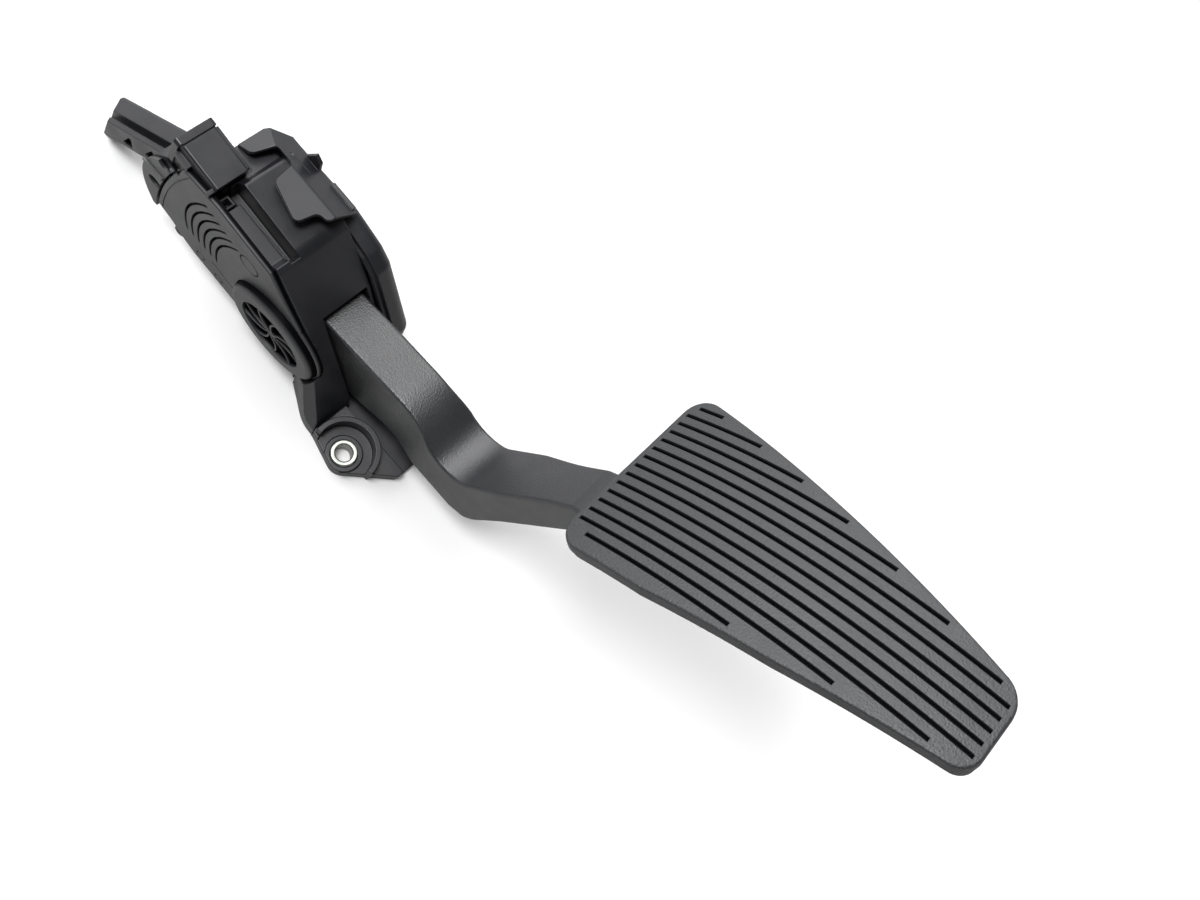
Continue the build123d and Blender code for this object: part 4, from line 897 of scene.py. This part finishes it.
@dataclass
class Studio:
    """White floor and surroundings, a soft lamp, and the camera at the photograph's angle.

    Only camera rays see the white floor and surroundings. Other rays see a dimmer floor, and surroundings
    that are brighter toward one side.
    """

    image_width: float = 1200.0
    focal_pixels: float = 1014.54
    sensor: float = 36.0
    clip: tuple[float, float] = (0.01, 50.0)
    camera_place: Point = (0.0236, -0.0900, 0.4346)
    camera_right: Point = (0.64231, 0.67759, 0.35820)
    camera_up: Point = (-0.75940, 0.62586, 0.17779)
    floor_half: float = 4.0
    floor_glow: float = 0.11
    floor_tone: float = 0.88
    floor_bounce: float = 0.45
    surround: tuple[float, float] = (0.09, 3.2)
    bright_side: Point = (-0.68, 0.33, 0.65)
    bright_range: tuple[float, float] = (0.62, 0.96)
    lamps: tuple[Lamp, ...] = (
        Lamp("overhead", (-0.185, -0.177, 1.20), (0.04, 0.02, 0.08), 0.28, 9.0),
    )

    def build(self) -> None:
        """Makes the camera, floor, surroundings and lamp, and sets the view transform."""
        self.camera()
        self.floor()
        self.world()
        for lamp in self.lamps:
            lamp.build()
        bpy.context.scene.view_settings.view_transform = "Standard"

    def camera(self) -> None:
        """Places the camera as the photograph was taken."""
        lens = bpy.data.cameras.new("camera")
        lens.sensor_fit = "HORIZONTAL"
        lens.sensor_width = self.sensor
        lens.lens = self.focal_pixels / self.image_width * self.sensor
        lens.clip_start, lens.clip_end = self.clip
        eye = bpy.data.objects.new("camera", lens)
        bpy.context.scene.collection.objects.link(eye)
        right, up = Vector(self.camera_right).normalized(), Vector(self.camera_up).normalized()
        turn = Matrix((right, up, right.cross(up))).transposed()
        eye.matrix_world = Matrix.Translation(self.camera_place) @ turn.to_4x4()
        bpy.context.scene.camera = eye

    def floor(self) -> None:
        """Makes the floor: it shows white to the camera and keeps the object's shadow."""
        shape = bmesh.new()
        bmesh.ops.create_grid(shape, x_segments=1, y_segments=1, size=self.floor_half)
        floor = as_piece(shape, "floor")
        paint = bpy.data.materials.new("floor_white")
        paint.use_nodes = True
        graph = Graph(paint.node_tree)
        paint.node_tree.nodes.clear()
        end = graph.add("ShaderNodeOutputMaterial")
        path = graph.add("ShaderNodeLightPath")
        seen = path.outputs["Is Camera Ray"]
        bounce = graph.add("ShaderNodeBsdfDiffuse")
        bounce.inputs["Color"].default_value = (self.floor_bounce,) * 3 + (1.0,)
        shaded = graph.add("ShaderNodeBsdfDiffuse")
        shaded.inputs["Color"].default_value = (self.floor_tone,) * 3 + (1.0,)
        glow = graph.add("ShaderNodeEmission")
        glow.inputs["Strength"].default_value = self.floor_glow
        both = graph.add("ShaderNodeAddShader")
        graph.join(shaded.outputs[0], both.inputs[0])
        graph.join(glow.outputs[0], both.inputs[1])
        choice = graph.add("ShaderNodeMixShader")
        graph.join(seen, choice.inputs[0])
        graph.join(bounce.outputs[0], choice.inputs[1])
        graph.join(both.outputs[0], choice.inputs[2])
        graph.join(choice.outputs[0], end.inputs["Surface"])
        floor.data.materials.append(paint)

    def world(self) -> None:
        """Makes white surroundings that light the object more from one side than from the other."""
        scene = bpy.context.scene
        scene.world = bpy.data.worlds.new("surroundings")
        scene.world.use_nodes = True
        graph = Graph(scene.world.node_tree)
        back = scene.world.node_tree.nodes["Background"]
        back.inputs["Color"].default_value = (1.0, 1.0, 1.0, 1.0)
        toward = graph.add("ShaderNodeVectorMath", operation="DOT_PRODUCT")
        graph.join(graph.add("ShaderNodeTexCoord").outputs["Generated"], toward.inputs[0])
        toward.inputs[1].default_value = Vector(self.bright_side).normalized()
        level = graph.stretch(toward.outputs["Value"], *self.bright_range, *self.surround)
        path = graph.add("ShaderNodeLightPath")
        choice = graph.add("ShaderNodeMix", data_type="FLOAT")
        graph.join(path.outputs["Is Camera Ray"], choice.inputs["Factor"])
        graph.join(level, choice.inputs["A"])
        choice.inputs["B"].default_value = 1.0
        graph.join(choice.outputs["Result"], back.inputs["Strength"])


def main() -> None:
    """Builds the studio and every piece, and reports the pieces."""
    logging.basicConfig(level=logging.INFO, format="%(name)s %(message)s")
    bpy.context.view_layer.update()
    Studio().build()
    wardrobe = Wardrobe()
    wardrobe.fill()
    for node, slot in PLAIN_NODES.items():
        wardrobe.dress_node(node, slot)
        LOG.info("%s: packed mesh as it is", node)
    for assembly in (Pad(), Arm(), Housing(), Vent(), Springs()):
        for piece in assembly.build(wardrobe):
            LOG.info("%s: %d faces", piece.name, len(piece.data.polygons))


if __name__ == "__main__":
    main()
